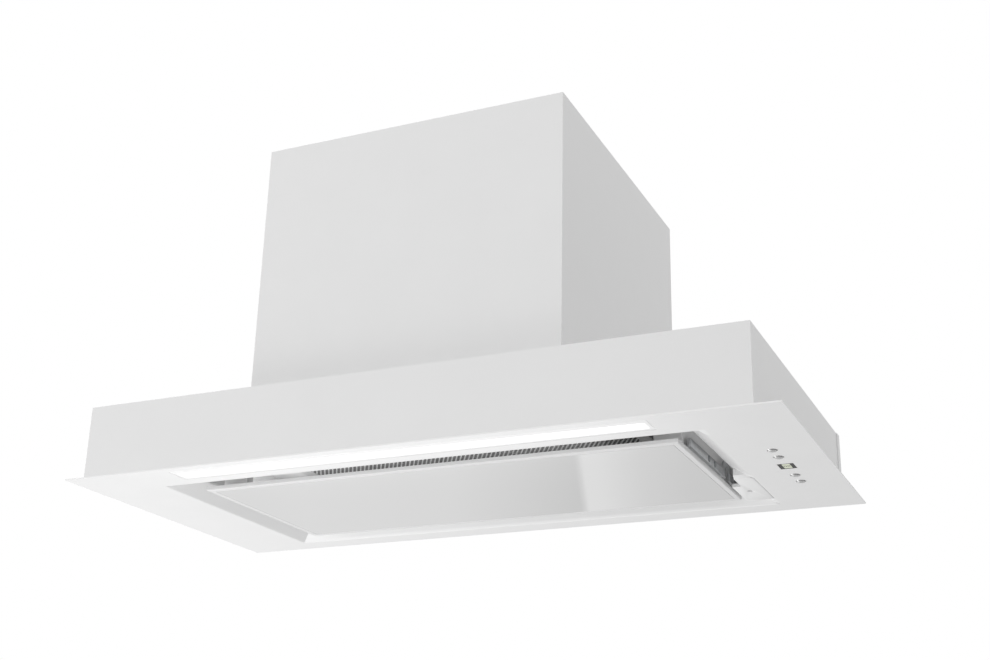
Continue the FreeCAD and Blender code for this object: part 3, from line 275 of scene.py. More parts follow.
@dataclass(frozen=True)
class Finish:
    """A surface: two shades, two levels of roughness and a fine relief, all led by one effect."""

    name: str
    dark: Colour  # colour where the effect's shade is 0
    light: Colour  # colour where it is 1
    smooth: float  # roughness where the shade is 0
    rough: float  # roughness where it is 1
    effect: Effect = Effect.GRAIN  # the effect that leads them
    scale: float = 1500.0  # the effect's marks per metre
    stretch: Spot = (1.0, 1.0, 1.0)  # how the effect is drawn out along each axis
    relief: float = 0.00001  # depth of the relief in metres
    metallic: float = 0.0
    slot: str = ""  # slot in the record, where that isn't the name; not used

    @cache
    def material(self) -> bpy.types.Material:
        """Make the finish's material, at the first call.

        Returns:
            The material.
        """
        made = bpy.data.materials.new(f"{self.name}_finish")
        made.use_nodes = True
        bench = Bench(made.node_tree)
        inputs = {"Scale": self.scale, "Stretch": self.stretch}
        effect = bench.node("ShaderNodeGroup", inputs, node_tree=effect_group(self.effect)).outputs
        relief = {"Height": effect["Height"], "Distance": self.relief, "Strength": 1.0}
        shader = bench.node("ShaderNodeBsdfPrincipled", {
            "Base Color": bench.ramp(effect["Shade"], ((0.0, self.dark), (1.0, self.light))),
            "Roughness": bench.ranged(effect["Shade"], new=(self.smooth, self.rough)),
            "Metallic": self.metallic,
            "Normal": bench.node("ShaderNodeBump", relief).outputs["Normal"],
        })
        self.extra(bench, shader)
        bench.node("ShaderNodeOutputMaterial", {"Surface": shader.outputs["BSDF"]})
        return made

    def extra(self, bench: Bench, shader: bpy.types.Node) -> None:
        """Add what only one kind of finish has; plain ones have nothing more.

        Args:
            bench: Where it is wired.
            shader: The finish's shader.
        """

    def dress(self, mesh: bpy.types.Mesh) -> None:
        """Make this a mesh's only finish."""
        mesh.materials.clear()
        mesh.materials.append(self.material())


@dataclass(frozen=True)
class Band:
    """A rectangle of another colour with soft edges, as seen along Z."""

    middle: Pair
    half: Pair  # half of its size along X and Y
    soft: Pair  # width of its soft edges
    colour: Colour

    def mask(self, bench: Bench) -> Socket:
        """Wire the band's mask: 1 inside it, and 0 past its soft edges.

        Args:
            bench: Where it is wired.

        Returns:
            The mask.
        """
        parts = bench.axes(bench.place())
        masks = []
        for axis, middle, half, soft in zip("XY", self.middle, self.half, self.soft):
            away = bench.maths("ABSOLUTE", bench.maths("SUBTRACT", parts[axis], middle))
            masks.append(bench.ranged(away, (half, half - soft), kind="SMOOTHSTEP"))
        return bench.maths("MULTIPLY", *masks)


@dataclass(frozen=True, kw_only=True)
class LitBand(Finish):
    """Opal plastic with a lit band along it."""

    band: Band
    glow: Colour  # light that the rest of the piece gives
    strength: float

    def extra(self, bench: Bench, shader: bpy.types.Node) -> None:
        """Light the band."""
        light = bench.ramp(self.band.mask(bench), ((0.0, self.glow), (1.0, self.band.colour)))
        bench.emit(shader, light, self.strength)


@dataclass(frozen=True, kw_only=True)
class PaintWithPaintedLight(Finish):
    """Paint with painted highlights and painted shade: brighter or darker bands along some bends and edges."""

    # painted highlights and painted shade, laid into the paint's colour
    bands: tuple[Band, ...]

    def extra(self, bench: Bench, shader: bpy.types.Node) -> None:
        """Mix the painted highlight and shade bands into the colour, one after the other.

        Args:
            bench: Where they are wired.
            shader: The finish's shader.
        """
        base = shader.inputs["Base Color"]
        for band in self.bands:
            inputs = {0: band.mask(bench), 6: base.links[0].from_socket, 7: (*band.colour, 1.0)}
            bench.feed(base, bench.node("ShaderNodeMix", inputs, data_type="RGBA").outputs[2])


@dataclass(frozen=True, kw_only=True)
class LitScreen(Finish):
    """A small lit screen."""

    strength: float  # light that it gives
    spots: float  # uneven spots per metre in it

    def extra(self, bench: Bench, shader: bpy.types.Node) -> None:
        """Light the screen a little unevenly."""
        uneven = bench.noise(bench.place(), self.spots, 1.0)
        bench.emit(shader, bench.ramp(uneven, ((0.0, self.dark), (1.0, self.light))), self.strength)


PAINT = {"smooth": 0.42, "rough": 0.5, "scale": 900.0, "relief": 0.000008}
POLISH = {"effect": Effect.BRUSHED, "scale": 500.0, "stretch": (1.0, 6.0, 1.0), "relief": 0.000002}
STEEL = {
    "smooth": 0.28, "rough": 0.42, "effect": Effect.SPANGLE, "scale": 160.0, "relief": 0.000006,
    "metallic": 0.7,
}
MOULDED = {"smooth": 0.42, "rough": 0.55, "scale": 2400.0, "relief": 0.00002}

ENAMEL = Finish("white_enamel", grey(0.80), grey(0.83), **PAINT)
# The plate's white enamel, with painted highlights and painted shade laid into its colour.
PRESSED_ENAMEL_WITH_PAINTED_LIGHT = PaintWithPaintedLight(
    "pressed_enamel_painted_light", grey(0.80), grey(0.83), **PAINT, slot="white_enamel",
    bands=(
        # painted highlight along the recess's rear bend
        Band((0.0, 0.1835), (0.345, 1.8 * MM), (1.8 * MM, 1.8 * MM), grey(0.90)),
        # painted highlight along the plate's front edge
        Band((0.0, -0.2175), (0.45, 0.8 * MM), (0.8 * MM, 0.8 * MM), grey(0.90)),
        # painted shadow on the recess's right slope
        Band((0.337, -0.044), (0.017, 0.089), (0.0145, 0.006), grey(0.62)),
        # painted shade on the recess's rear slope
        Band((0.0, 0.169), (0.33, 0.0125), (0.08, 0.004), grey(0.735)),
    ),
)
# The panel border's white enamel, drawn darker than the plate's as painted shade.
BORDER_ENAMEL_PAINTED_SHADE = Finish("border_enamel_painted_shade", grey(0.73), grey(0.76), **PAINT, slot="white_enamel")
GLASS = Finish("white_glass", grey(0.67), grey(0.68), 0.004, 0.008, Effect.CLOUD, 9.0, relief=0.0)
WHITE_PLASTIC = Finish("white_plastic", grey(0.82), grey(0.85), 0.3, 0.4, scale=2600.0)
OPAL = LitBand(
    "opal", grey(0.80), grey(0.83), 0.45, 0.55, scale=3000.0, glow=grey(0.05), strength=0.9,
    band=Band((0.0, -0.186), (0.2995, 0.0115), (6 * MM, 4 * MM), grey(1.0)),
)
CHROME = Finish("chrome", grey(0.72), grey(0.8), 0.06, 0.12, metallic=1.0, **POLISH)
SATIN = Finish("satin_chrome", grey(0.78), grey(0.88), 0.28, 0.36, metallic=0.5, slot="chrome", **POLISH)
ZINC = Finish("zinc_steel", (0.48, 0.49, 0.50), (0.60, 0.61, 0.62), **STEEL)
HINGE_STEEL = Finish("hinge_steel", (0.22, 0.23, 0.24), (0.3, 0.31, 0.32), slot="zinc_steel", **STEEL)
ALUMINIUM = Finish(
    "aluminium", grey(0.72), grey(0.84), 0.3, 0.42, Effect.BRUSHED, 900.0, (0.04, 1.0, 1.0), 0.000006, 1.0,
)
FILTER_MESH = Finish(
    "filter_mesh", grey(0.08), grey(0.24), 0.4, 0.55, Effect.MESH, 180.0, relief=0.0006, metallic=0.8,
)
BLACK_PLASTIC = Finish("black_plastic", grey(0.022), grey(0.035), **MOULDED)
GREY_PLASTIC = Finish("grey_plastic", grey(0.27), grey(0.33), **MOULDED)
RUBBER = Finish("rubber", grey(0.018), grey(0.03), 0.7, 0.85, scale=1200.0, relief=0.00003)
BOARD = Finish("board", (0.012, 0.09, 0.03), (0.03, 0.16, 0.06), 0.3, 0.45, Effect.MESH, 120.0, relief=0.00004)
DARK_WINDOW = Finish("dark_window", grey(0.012), grey(0.02), 0.22, 0.28, Effect.CLOUD, 60.0, relief=0.0)
DISPLAY = LitScreen(
    "display", (0.4, 0.43, 0.34), (0.62, 0.64, 0.52), 0.3, 0.4, scale=2000.0, strength=0.4, spots=120.0,
)
FINISHES = {
    made.name: made
    for made in (
        ENAMEL, GLASS, WHITE_PLASTIC, OPAL, CHROME, ZINC, ALUMINIUM, FILTER_MESH, BLACK_PLASTIC, GREY_PLASTIC,
        RUBBER, BOARD, DARK_WINDOW, DISPLAY,
    )
}


def cells(number: Array) -> Array:
    """Return the four corners of every cell in a grid of numbers."""
    return np.stack([number[:-1, :-1], number[:-1, 1:], number[1:, 1:], number[1:, :-1]], axis=-1)


def arc(centre: Pair, radius: float, begin: float, end: float, steps: int = 8) -> Array:
    """Points on an arc: centre plus radius times the cosine and sine of an even run of angles.

    Args:
        centre: Middle of the arc.
        radius: Its radius.
        begin: First angle in degrees.
        end: Last angle in degrees.
        steps: Steps between them.

    Returns:
        Points, one in each row.
    """
    angle = np.radians(np.linspace(begin, end, steps + 1))
    return np.stack([centre[0] + radius * np.cos(angle), centre[1] + radius * np.sin(angle)], axis=1)


def turned(profile: Array, centre: Spot, axis: str = "z", sides: int = 48, facing: float = 1.0) -> Array:
    """Points of a turned shape: each profile point's radius swept round an axis, at its own height.

    Args:
        profile: Radius and height, one pair in each row.
        centre: Where height 0 is on the axis.
        axis: The axis, x or z.
        sides: Steps round it.
        facing: 1 if heights run along the axis, -1 if against it.

    Returns:
        Profile points by steps by 3.
    """
    angle = np.linspace(0.0, math.tau, sides, endpoint=False)
    radius, height = profile[:, :1], profile[:, 1:] * facing
    first, second = radius * np.cos(angle), radius * np.sin(angle)
    along = np.broadcast_to(height, first.shape)
    parts = (first, second, along) if axis == "z" else (along, first, second)
    return np.stack(parts, axis=-1) + np.array(centre)


def rectangle_rings(profile: Array, half: Pair, middle: Pair) -> Array:
    """Points of a rim: each profile point is a rectangle, drawn in from the outline by its inset.

    Args:
        profile: Inset and height, one pair in each row.
        half: Half of the outline's length and of its depth.
        middle: Middle of the outline.

    Returns:
        Profile points by four corners by 3.
    """
    corner = np.array([(-1.0, -1.0), (1.0, -1.0), (1.0, 1.0), (-1.0, 1.0)])
    flat = corner[None] * (np.array(half) - profile[:, None, :1]) + np.array(middle)
    height = np.broadcast_to(profile[:, None, 1:], (*flat.shape[:2], 1))
    return np.concatenate([flat, height], axis=-1)


@dataclass
class Skin:
    """Points and faces of a piece that is being made."""

    points: list[Array] = field(default_factory=list)
    faces: list[list[int]] = field(default_factory=list)  # each as numbers of points
    count: int = 0  # points so far

    def add(self, points: Array, faces: list[list[int]]) -> None:
        """Add points and the faces among them.

        Args:
            points: Points, in any grid of rows of 3.
            faces: Faces, numbered from the first of these points.
        """
        self.points.append(points.reshape(-1, 3))
        self.faces += [[corner + self.count for corner in face] for face in faces]
        self.count += len(self.points[-1])

    def grid(
        self, points: Array, round_rows: bool = False, round_columns: bool = False, caps: bool = False,
    ) -> Self:
        """Add a grid of points as quads.

        Args:
            points: Rows by columns by 3.
            round_rows: Whether the last row joins the first.
            round_columns: Whether the last column joins the first.
            caps: Whether the first and the last row are each closed by one face.

        Returns:
            This skin.
        """
        number = np.arange(points.shape[0] * points.shape[1]).reshape(points.shape[:2])
        whole = np.concatenate([number, number[:, :1]], axis=1) if round_columns else number
        whole = np.concatenate([whole, whole[:1]]) if round_rows else whole
        faces = cells(whole).reshape(-1, 4).tolist()
        if caps:
            faces += [number[0, ::-1].tolist(), number[-1].tolist()]
        self.add(points, faces)
        return self

    def rim(self, profile: Array, half: Pair, middle: Pair) -> Self:
        """Add a closed rim, as rectangle_rings draws it, and return this skin."""
        return self.grid(rectangle_rings(profile, half, middle), round_columns=True, caps=True)

    def block(self, middle: Pair, half: Pair, heights: Pair) -> Self:
        """Add a closed block between two heights, and return this skin."""
        return self.rim(np.array([(0.0, height) for height in heights]), half, middle)

    def piece(self, name: str, finish: Finish, body: str, closed: bool = True) -> Piece:
        """Make the piece: welded, faces outward, dressed and riding on its body.

        Args:
            name: Name of the piece.
            finish: Its finish.
            body: The body that it rides on.
            closed: Whether it is a closed shell, whose faces are then turned outwards.

        Returns:
            The piece.
        """
        mesh = bpy.data.meshes.new(name)
        mesh.from_pydata(np.concatenate(self.points).tolist(), [], self.faces)
        work = bmesh.new()
        work.from_mesh(mesh)
        bmesh.ops.remove_doubles(work, verts=work.verts, dist=WELD)
        if closed:
            bmesh.ops.recalc_face_normals(work, faces=work.faces)
        return shown(work, mesh, finish, body)


def smoothed(mesh: bpy.types.Mesh, sharp: float) -> None:
    """Shade a mesh smooth, but for edges above an angle in degrees."""
    mesh.shade_smooth()
    mesh.set_sharp_from_angle(angle=math.radians(sharp))


def shown(work: bmesh.types.BMesh, mesh: bpy.types.Mesh, finish: Finish, body: str) -> Piece:
    """Put a mesh in the scene as a dressed piece of the same name.

    Args:
        work: What the mesh takes over.
        mesh: The mesh.
        finish: Its finish.
        body: The body that it rides on.

    Returns:
        The piece.
    """
    work.to_mesh(mesh)
    work.free()
    smoothed(mesh, SHARP)
    finish.dress(mesh)
    piece = bpy.data.objects.new(mesh.name, mesh)
    bpy.context.scene.collection.objects.link(piece)
    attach(piece, body)
    LOG.info("made %s on %s: %d faces", mesh.name, body, len(mesh.polygons))
    return piece


def with_modifier(piece: Piece, kind: str, sharp: float, **settings: Any) -> None:
    """Finish a piece with one modifier, whose result becomes its mesh.

    Args:
        piece: The piece.
        kind: Blender's name for the type of modifier.
        sharp: Angle in degrees above which an edge stays sharp.
        settings: The modifier's values.
    """
    modifier = piece.modifiers.new(kind.lower(), kind)
    for name, value in settings.items():
        setattr(modifier, name, value)
    bpy.context.view_layer.update()
    done = bpy.data.meshes.new_from_object(piece.evaluated_get(bpy.context.evaluated_depsgraph_get()))
    piece.modifiers.clear()
    piece.data = done
    smoothed(done, sharp)


def softened(node: str, name: str, finish: Finish, body: str, width: float) -> Piece:
    """Stand in for a CAD node with a copy whose edges are rounded.

    Args:
        node: The CAD node.
        name: Name of the piece.
        finish: Its finish.
        body: The body that it rides on.
        width: Width of the rounded edge.

    Returns:
        The piece.
    """
    one_face, rounded, sharp = 0.5, 35.0, 40.0  # degrees
    work = bmesh.new()
    work.from_mesh(frame["nodes"][node].data)
    bmesh.ops.remove_doubles(work, verts=work.verts, dist=WELD)
    bmesh.ops.dissolve_limit(work, angle_limit=math.radians(one_face), verts=work.verts, edges=work.edges)
    piece = shown(work, bpy.data.meshes.new(name), finish, body)
    with_modifier(
        piece, "BEVEL", sharp, width=width, segments=3, limit_method="ANGLE",
        angle_limit=math.radians(rounded), use_clamp_overlap=True,
    )
    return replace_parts(piece, node)


@dataclass
class PressedPlate:
    """The flange plate: one sheet, with bends drawn to a radius round its sloping recess."""

    half: Pair = (0.45, 0.2175)  # half of the plate's length and depth
    thickness: float = 1.5 * MM
    recess_half: Pair = (0.3475, 0.1665)  # half of the recess's length and depth, at the plate's underside
    recess_mid: float = 0.0165  # middle of the recess, along Y
    slope: Pair = (26 * MM, 17 * MM)  # run and rise of the recess's sides
    lip_top: float = 21.5 * MM  # height of the lip's upper edge
    outer_bend: float = 6 * MM  # radius of the bend from the plate to the slope
    right_bend: float = 16 * MM  # the same on the right, where it is softer
    inner_bend: float = 3 * MM  # radius of the bend from the slope to the lip
    slot: Spot = (0.303, -0.2055, -0.1695)  # half of the light slot's length, and its front and rear edge
    control_x: float = 0.3985  # middle of the buttons and of the display, along X
    button_rows: tuple[float, ...] = (-0.0525, -0.0235, 0.0565, 0.0855)  # middles of the buttons, along Y
    button_hole: float = 5.5 * MM  # radius of a button's hole
    cell: float = 7.975 * MM  # half of the side of the square round such a hole
    window_half: Pair = (9.5 * MM, 11 * MM)  # half of the display's hole
    hole_steps: int = 12  # steps round a quarter of a button's hole
    sharp: float = 30.0  # angle in degrees above which the sheet's edges stay sharp
    skin: Skin = field(default_factory=Skin)  # the sheet's underside

    @property
    def underside(self) -> float:
        """Return the height of the plate's lower face."""
        return -self.thickness

    def recess_profile(self, bend: float) -> Array:
        """Section of the recess: flat, bend, slope, bend, lip; inset from its edge, and height.

        A bend of radius r that turns by an angle starts r times the tangent of half the angle before the
        corner that it rounds. A line close to each bend keeps the faces beside it flat. Every section starts
        on the flat, clear of the widest bend.

        Args:
            bend: Radius of the bend from the plate to the slope.

        Returns:
            Inset and height, one pair in each row.
        """
        run, rise = self.slope
        lean = math.degrees(math.atan2(rise, run))
        half_turn = math.tan(math.radians(lean / 2))
        first = arc((-bend * half_turn, self.underside + bend), bend, -90.0, lean - 90.0)
        before = self.inner_bend * math.tan(math.radians((90.0 - lean) / 2))
        top = self.underside + rise
        second = arc((run - self.inner_bend, top + before), self.inner_bend, lean - 90.0, 0.0)
        along = np.array(self.slope) * HOLD / math.hypot(run, rise)
        edge = max(self.outer_bend, self.right_bend) * half_turn + 2 * HOLD
        flat = [(-edge, self.underside), first[0] - (HOLD, 0.0)]
        straight = [first[-1] + along, second[0] - along]
        return np.concatenate([flat, first, straight, second, [(run, self.lip_top)]])

    @cached_property
    def sections(self) -> tuple[Array, Array]:
        """Return the recess's section, and the softer one of its right side."""
        return self.recess_profile(self.outer_bend), self.recess_profile(self.right_bend)

    @cached_property
    def inner(self) -> Pair:
        """Return half of the length and depth at which the sections start."""
        edge = self.sections[0][0, 0]
        return self.recess_half[0] - edge, self.recess_half[1] - edge

    @cached_property
    def holes(self) -> list[Hole]:
        """What the flat plate leaves out: the recess, the light slot, the window and the buttons' squares.

        Returns:
            Middle and half size of each.
        """
        half, front, rear = self.slot
        return [
            ((0.0, self.recess_mid), self.inner),
            ((0.0, (front + rear) / 2), (half, (rear - front) / 2)),
            ((self.control_x, self.recess_mid), self.window_half),
            *(((self.control_x, row), (self.cell, self.cell)) for row in self.button_rows),
        ]

    def lines(self, axis: int) -> Array:
        """Return the flat plate's grid lines across an axis: along the plate's edges and every hole's."""
        edges = [middle[axis] + side * half[axis] for middle, half in self.holes for side in (-1, 1)]
        return np.unique(np.round([-self.half[axis], self.half[axis], *edges], decimals=7))

    def flat(self) -> None:
        """Add the flat flange: every cell of the grid that no hole takes, faces down."""
        x, y = self.lines(0), self.lines(1)
        across, deep = np.meshgrid(x, y, indexing="ij")
        points = np.stack([across, deep, np.full_like(across, self.underside)], axis=-1)
        mid_x, mid_y = np.meshgrid((x[1:] + x[:-1]) / 2, (y[1:] + y[:-1]) / 2, indexing="ij")
        kept = np.ones(mid_x.shape, bool)
        for middle, half in self.holes:
            kept &= (abs(mid_x - middle[0]) > half[0]) | (abs(mid_y - middle[1]) > half[1])
        self.skin.add(points, cells(np.arange(across.size).reshape(across.shape))[kept].tolist())

    def button_cell(self, row: float) -> None:
        """Add a square with a round hole: one face from each side of the square to a quarter of the hole.

        Args:
            row: Middle of the hole, along Y.
        """
        middle, steps = (self.control_x, row), self.hole_steps
        corners = arc(middle, self.cell * math.sqrt(2.0), 225.0, 495.0, steps=3)
        ring = arc(middle, self.button_hole, 225.0, 585.0, steps=4 * steps)[:-1]
        flat = np.concatenate([corners, ring])
        faces = []
        for side in range(4):
            quarter = 4 + np.arange(side * steps, (side + 1) * steps + 1) % (4 * steps)
            faces.append([(side + 1) % 4, side, *quarter.tolist()])
        self.skin.add(np.concatenate([flat, np.full((len(flat), 1), self.underside)], axis=1), faces)

    def recess(self) -> None:
        """Add the recess's four sides: sections along its edges, drawn in evenly so that corners are mitred.

        The front and the rear take the right side's section at their right end alone, and pass over to it.
        """
        lines = (self.lines(0), self.lines(1) - self.recess_mid)
        along_x, along_y = (line[abs(line) <= end + CLOSE] / end for line, end in zip(lines, self.inner))
        plain, right = (section[:, None] for section in self.sections)
        long = np.where(along_x[:, None] < 1.0, plain, right)
        for sign in (-1.0, 1.0):
            short = right if sign > 0 else plain
            sides = ((long, along_x, sign, sign), (short, sign, along_y, -sign))
            for section, share_x, share_y, turn in sides:
                half_x, half_y = (half - section[..., 0] for half in self.recess_half)
                place = (half_x * share_x, self.recess_mid + half_y * share_y, section[..., 1])
                side = np.stack(np.broadcast_arrays(*place), axis=-1)
                self.skin.grid(side if turn > 0 else side[:, ::-1])

    def build(self) -> None:
        """Make the sheet, thicken it upwards and let it stand for the flange plate."""
        self.flat()
        for row in self.button_rows:
            self.button_cell(row)
        self.recess()
        # the sheet's enamel carries painted highlights and painted shade
        piece = self.skin.piece("pressed_plate", PRESSED_ENAMEL_WITH_PAINTED_LIGHT, Body.HOOD.value, closed=False)
        upwards = {"offset": -1.0, "use_even_offset": True}
        with_modifier(piece, "SOLIDIFY", self.sharp, thickness=self.thickness, **upwards)
        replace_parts(piece, "flange_plate")


@dataclass
class InletPanel:
    """The tilting panel: a glass pane with a soft edge, in a rounded frame."""

    half: Pair = (0.3095, 0.1325)  # half of the panel's length and depth
    middle: Pair = (0.0, 0.0165)
    low: float = -1.5 * MM  # height of its lower face
    high: float = 3.5 * MM  # height of its upper face
    border: float = 7 * MM  # width of the frame's border
    pane_depth: float = 4 * MM  # thickness of the pane
    edge: float = 1.4 * MM  # radius of the frame's outer edge
    lip: float = 0.6 * MM  # radius of the frame's inner edge and of the pane's edge
    lip_steps: int = 5  # steps round those two
    gap: float = 0.2 * MM  # room between the frame and the pane

    def frame_piece(self) -> None:
        """Make the frame: top, outer wall, rounded edge, border and pocket, as one section round the panel."""
        outer = arc((self.edge, self.low + self.edge), self.edge, 180.0, 270.0)
        inner = arc((self.border - self.lip, self.low + self.lip), self.lip, 270.0, 360.0, self.lip_steps)
        ends = ([(0.0, self.high)], [(self.border, self.low + self.pane_depth)])
        flat = [(self.edge + HOLD, self.low), (self.border - self.lip - HOLD, self.low)]
        skin = Skin().rim(np.concatenate([ends[0], outer, flat, inner, ends[1]]), self.half, self.middle)
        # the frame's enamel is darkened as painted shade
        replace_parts(skin.piece("panel_border", BORDER_ENAMEL_PAINTED_SHADE, Body.PANEL.value), "panel_frame")

    def pane(self) -> None:
        """Make the pane: a slab whose lower edge is rounded."""
        inset = self.border + self.gap
        soft = arc((inset + self.lip, self.low + self.lip), self.lip, 180.0, 270.0, self.lip_steps)
        flat = [(inset + self.lip + HOLD, self.low)]
        profile = np.concatenate([[(inset, self.low + self.pane_depth)], soft, flat])
        skin = Skin().rim(profile, self.half, self.middle)
        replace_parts(skin.piece("panel_pane", GLASS, Body.PANEL.value), "panel_glass")

    def build(self) -> None:
        """Make the frame and the pane."""
        self.frame_piece()
        self.pane()


@dataclass
class LightStrip:
    """The opal bar in the front margin."""

    half: Pair = (0.3027, 0.0177)  # half of the bar's length and depth
    middle: Pair = (0.0, -0.1875)
    low: float = -1.5 * MM  # height of its face
    ledge: float = 1.8 * MM  # reach of the ledge that hangs it on the plate
    ledge_top: float = 2 * MM  # height of the ledge's upper face
    edge: float = 0.9 * MM  # radius of the face's edge
    edge_steps: int = 5  # steps round that edge

    def build(self) -> None:
        """Make the bar: ledge, step and soft-edged face, as one section round it."""
        soft = arc((self.edge, self.low + self.edge), self.edge, 180.0, 270.0, self.edge_steps)
        rim = [(-self.ledge, self.ledge_top), (-self.ledge, LIFT), (0.0, LIFT)]
        profile = np.concatenate([rim, soft, [(self.edge + HOLD, self.low)]])
        skin = Skin().rim(profile, self.half, self.middle)
        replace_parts(skin.piece("light_bar", OPAL, Body.HOOD.value), "led_diffuser")


# The ends of a digit's seven strokes in widths and half heights, and the strokes of two digits.
STROKES = {
    "a": ((-0.5, 1.0), (0.5, 1.0)), "b": ((0.5, 1.0), (0.5, 0.0)), "c": ((0.5, 0.0), (0.5, -1.0)),
    "d": ((-0.5, -1.0), (0.5, -1.0)), "e": ((-0.5, 0.0), (-0.5, -1.0)), "f": ((-0.5, 1.0), (-0.5, 0.0)),
    "g": ((-0.5, 0.0), (0.5, 0.0)),
}
DIGITS = {0: "afbecd", 2: "abged"}


@dataclass
class Controls:
    """Buttons in their rings, and the display."""

    x: float = PressedPlate.control_x  # middle of the row, along X
    rows: tuple[float, ...] = PressedPlate.button_rows  # middles of the buttons, along Y
    display_y: float = PressedPlate.recess_mid  # middle of the display, along Y
    plate: float = -PressedPlate.thickness  # height of the plate's lower face
    cap: float = 4.8 * MM  # radius of a button's cap
    face: float = -3.1 * MM  # height of the cap's edge
    dome: float = 0.8 * MM  # how far its middle stands below its edge
    rim: float = 0.7 * MM  # radius of the cap's rounded edge
    flange: Spot = (6.0 * MM, 1.8 * MM, 2.8 * MM)  # radius and two heights of the flange that holds a button
    stem: Pair = (1.5 * MM, 5.2 * MM)  # radius of the stem, and its upper height
    ring: Spot = (4.95 * MM, 5.5 * MM, 6.2 * MM)  # inner radius of a ring, its sleeve's and its rim's
    ring_low: float = -2.1 * MM  # height of a ring's lowest point
    sleeve_top: float = 1.5 * MM  # height of a ring's upper end
    window: Pair = (9.35 * MM, 10.85 * MM)  # half of the display window's length and depth
    ledge: Pair = (2.15 * MM, 1.5 * MM)  # reach of the ledge that holds the window, and its upper height
    bevel: float = 0.2 * MM  # width of the window's bevelled edges
    screen: Pair = (4.7 * MM, 9.0 * MM)  # half of the lit screen's length and depth
    screen_depth: float = 0.25 * MM  # how far the screen's back lies above the plate's lower face
    sheet: float = 0.12 * MM  # thickness of the screen
    sheet_gap: float = 0.1 * MM  # room between the screen and the window
    stroke: float = 0.55 * MM  # width of a digit's strokes
    ink: float = 0.04 * MM  # height of the strokes
    digit: Pair = (2.4 * MM, 2.4 * MM)  # width and half of the height of a digit
    digit_pitch: float = 4.0 * MM  # distance between two digits' middles

    def button(self, number: int, row: float) -> None:
        """Make a button: a shallow parabola with a rounded edge, then flange and stem, turned upright.

        Args:
            number: The button's number.
            row: Its middle, along Y.
        """
        flat = self.cap - self.rim
        reach = np.linspace(0.0, flat, num=10)
        dome = np.stack([reach, self.face - self.dome * (1.0 - (reach / flat) ** 2)], axis=1)
        soft = arc((flat, self.face + self.rim), self.rim, -90.0, 0.0, steps=6)[1:]
        wide, low, high = self.flange
        thin, top = self.stem
        rest = [(self.cap, low), (wide, low), (wide, high), (thin, high), (thin, top), (0.0, top)]
        profile = np.concatenate([dome, soft, rest])
        skin = Skin().grid(turned(profile, (self.x, row, 0.0)), round_columns=True)
        piece = skin.piece(f"button_cap_{number}", SATIN, Body.BUTTON.value.format(number))
        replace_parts(piece, f"button_{number}")

    def rings(self) -> None:
        """Make the rings: a half-round rim under the plate and a sleeve through it, turned upright."""
        inner, sleeve, outer = self.ring
        half = (outer - inner) / 2
        bead = arc((0.0, 0.0), 1.0, 180.0, 360.0, steps=12) * (half, self.plate - self.ring_low)
        rest = [(sleeve, self.plate), (sleeve, self.sleeve_top), (inner, self.sleeve_top)]
        profile = np.concatenate([bead + (inner + half, self.plate), rest])
        skin = Skin()
        for row in self.rows:
            skin.grid(turned(profile, (self.x, row, 0.0)), round_rows=True, round_columns=True)
        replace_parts(skin.piece("button_bezels", CHROME, Body.HOOD.value), "button_rings")

    def display(self) -> None:
        """Make the window as a rim round the lit screen, and the screen with its digits."""
        reach, top = self.ledge
        inset = self.window[0] - self.screen[0]
        back = self.plate + self.screen_depth
        profile = np.array([
            (-reach, top), (-reach, LIFT), (0.0, LIFT), (0.0, self.plate + self.bevel),
            (self.bevel, self.plate), (inset - self.bevel, self.plate), (inset, back),
        ])
        middle = (self.x, self.display_y)
        rings = rectangle_rings(profile, self.window, middle)
        rings[-2:] = rectangle_rings(profile[-2:], (self.window[0], self.screen[1] + inset), middle)
        skin = Skin().grid(rings, round_columns=True, caps=True)
        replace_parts(skin.piece("display_rim", DARK_WINDOW, Body.HOOD.value), "display_window")
        face = back - self.sheet
        sheet = Skin().block(middle, np.array(self.screen) - self.sheet_gap, (face, back))
        sheet.piece("display_screen", DISPLAY, Body.HOOD.value)
        self.digits(face)

    def digits(self, face: float) -> None:
        """Make two digits of straight strokes on the screen; their tops are towards the front.

        Args:
            face: Height of the screen's face.
        """
        skin = Skin()
        width, half = self.digit
        for side, value in ((-0.5, 0), (0.5, 2)):
            middle = (self.x + side * self.digit_pitch, self.display_y)
            for stroke in DIGITS[value]:
                ends = np.array(STROKES[stroke]) * (width, -half) + middle
                reach = (abs(ends[1] - ends[0]) + self.stroke) / 2
                skin.block(ends.mean(axis=0), reach, (face - self.ink, face))
        skin.piece("display_digits", BLACK_PLASTIC, Body.HOOD.value)

    def build(self) -> None:
        """Make buttons, rings and display."""
        for number, row in enumerate(self.rows, start=1):
            self.button(number, row)
        self.rings()
        self.display()


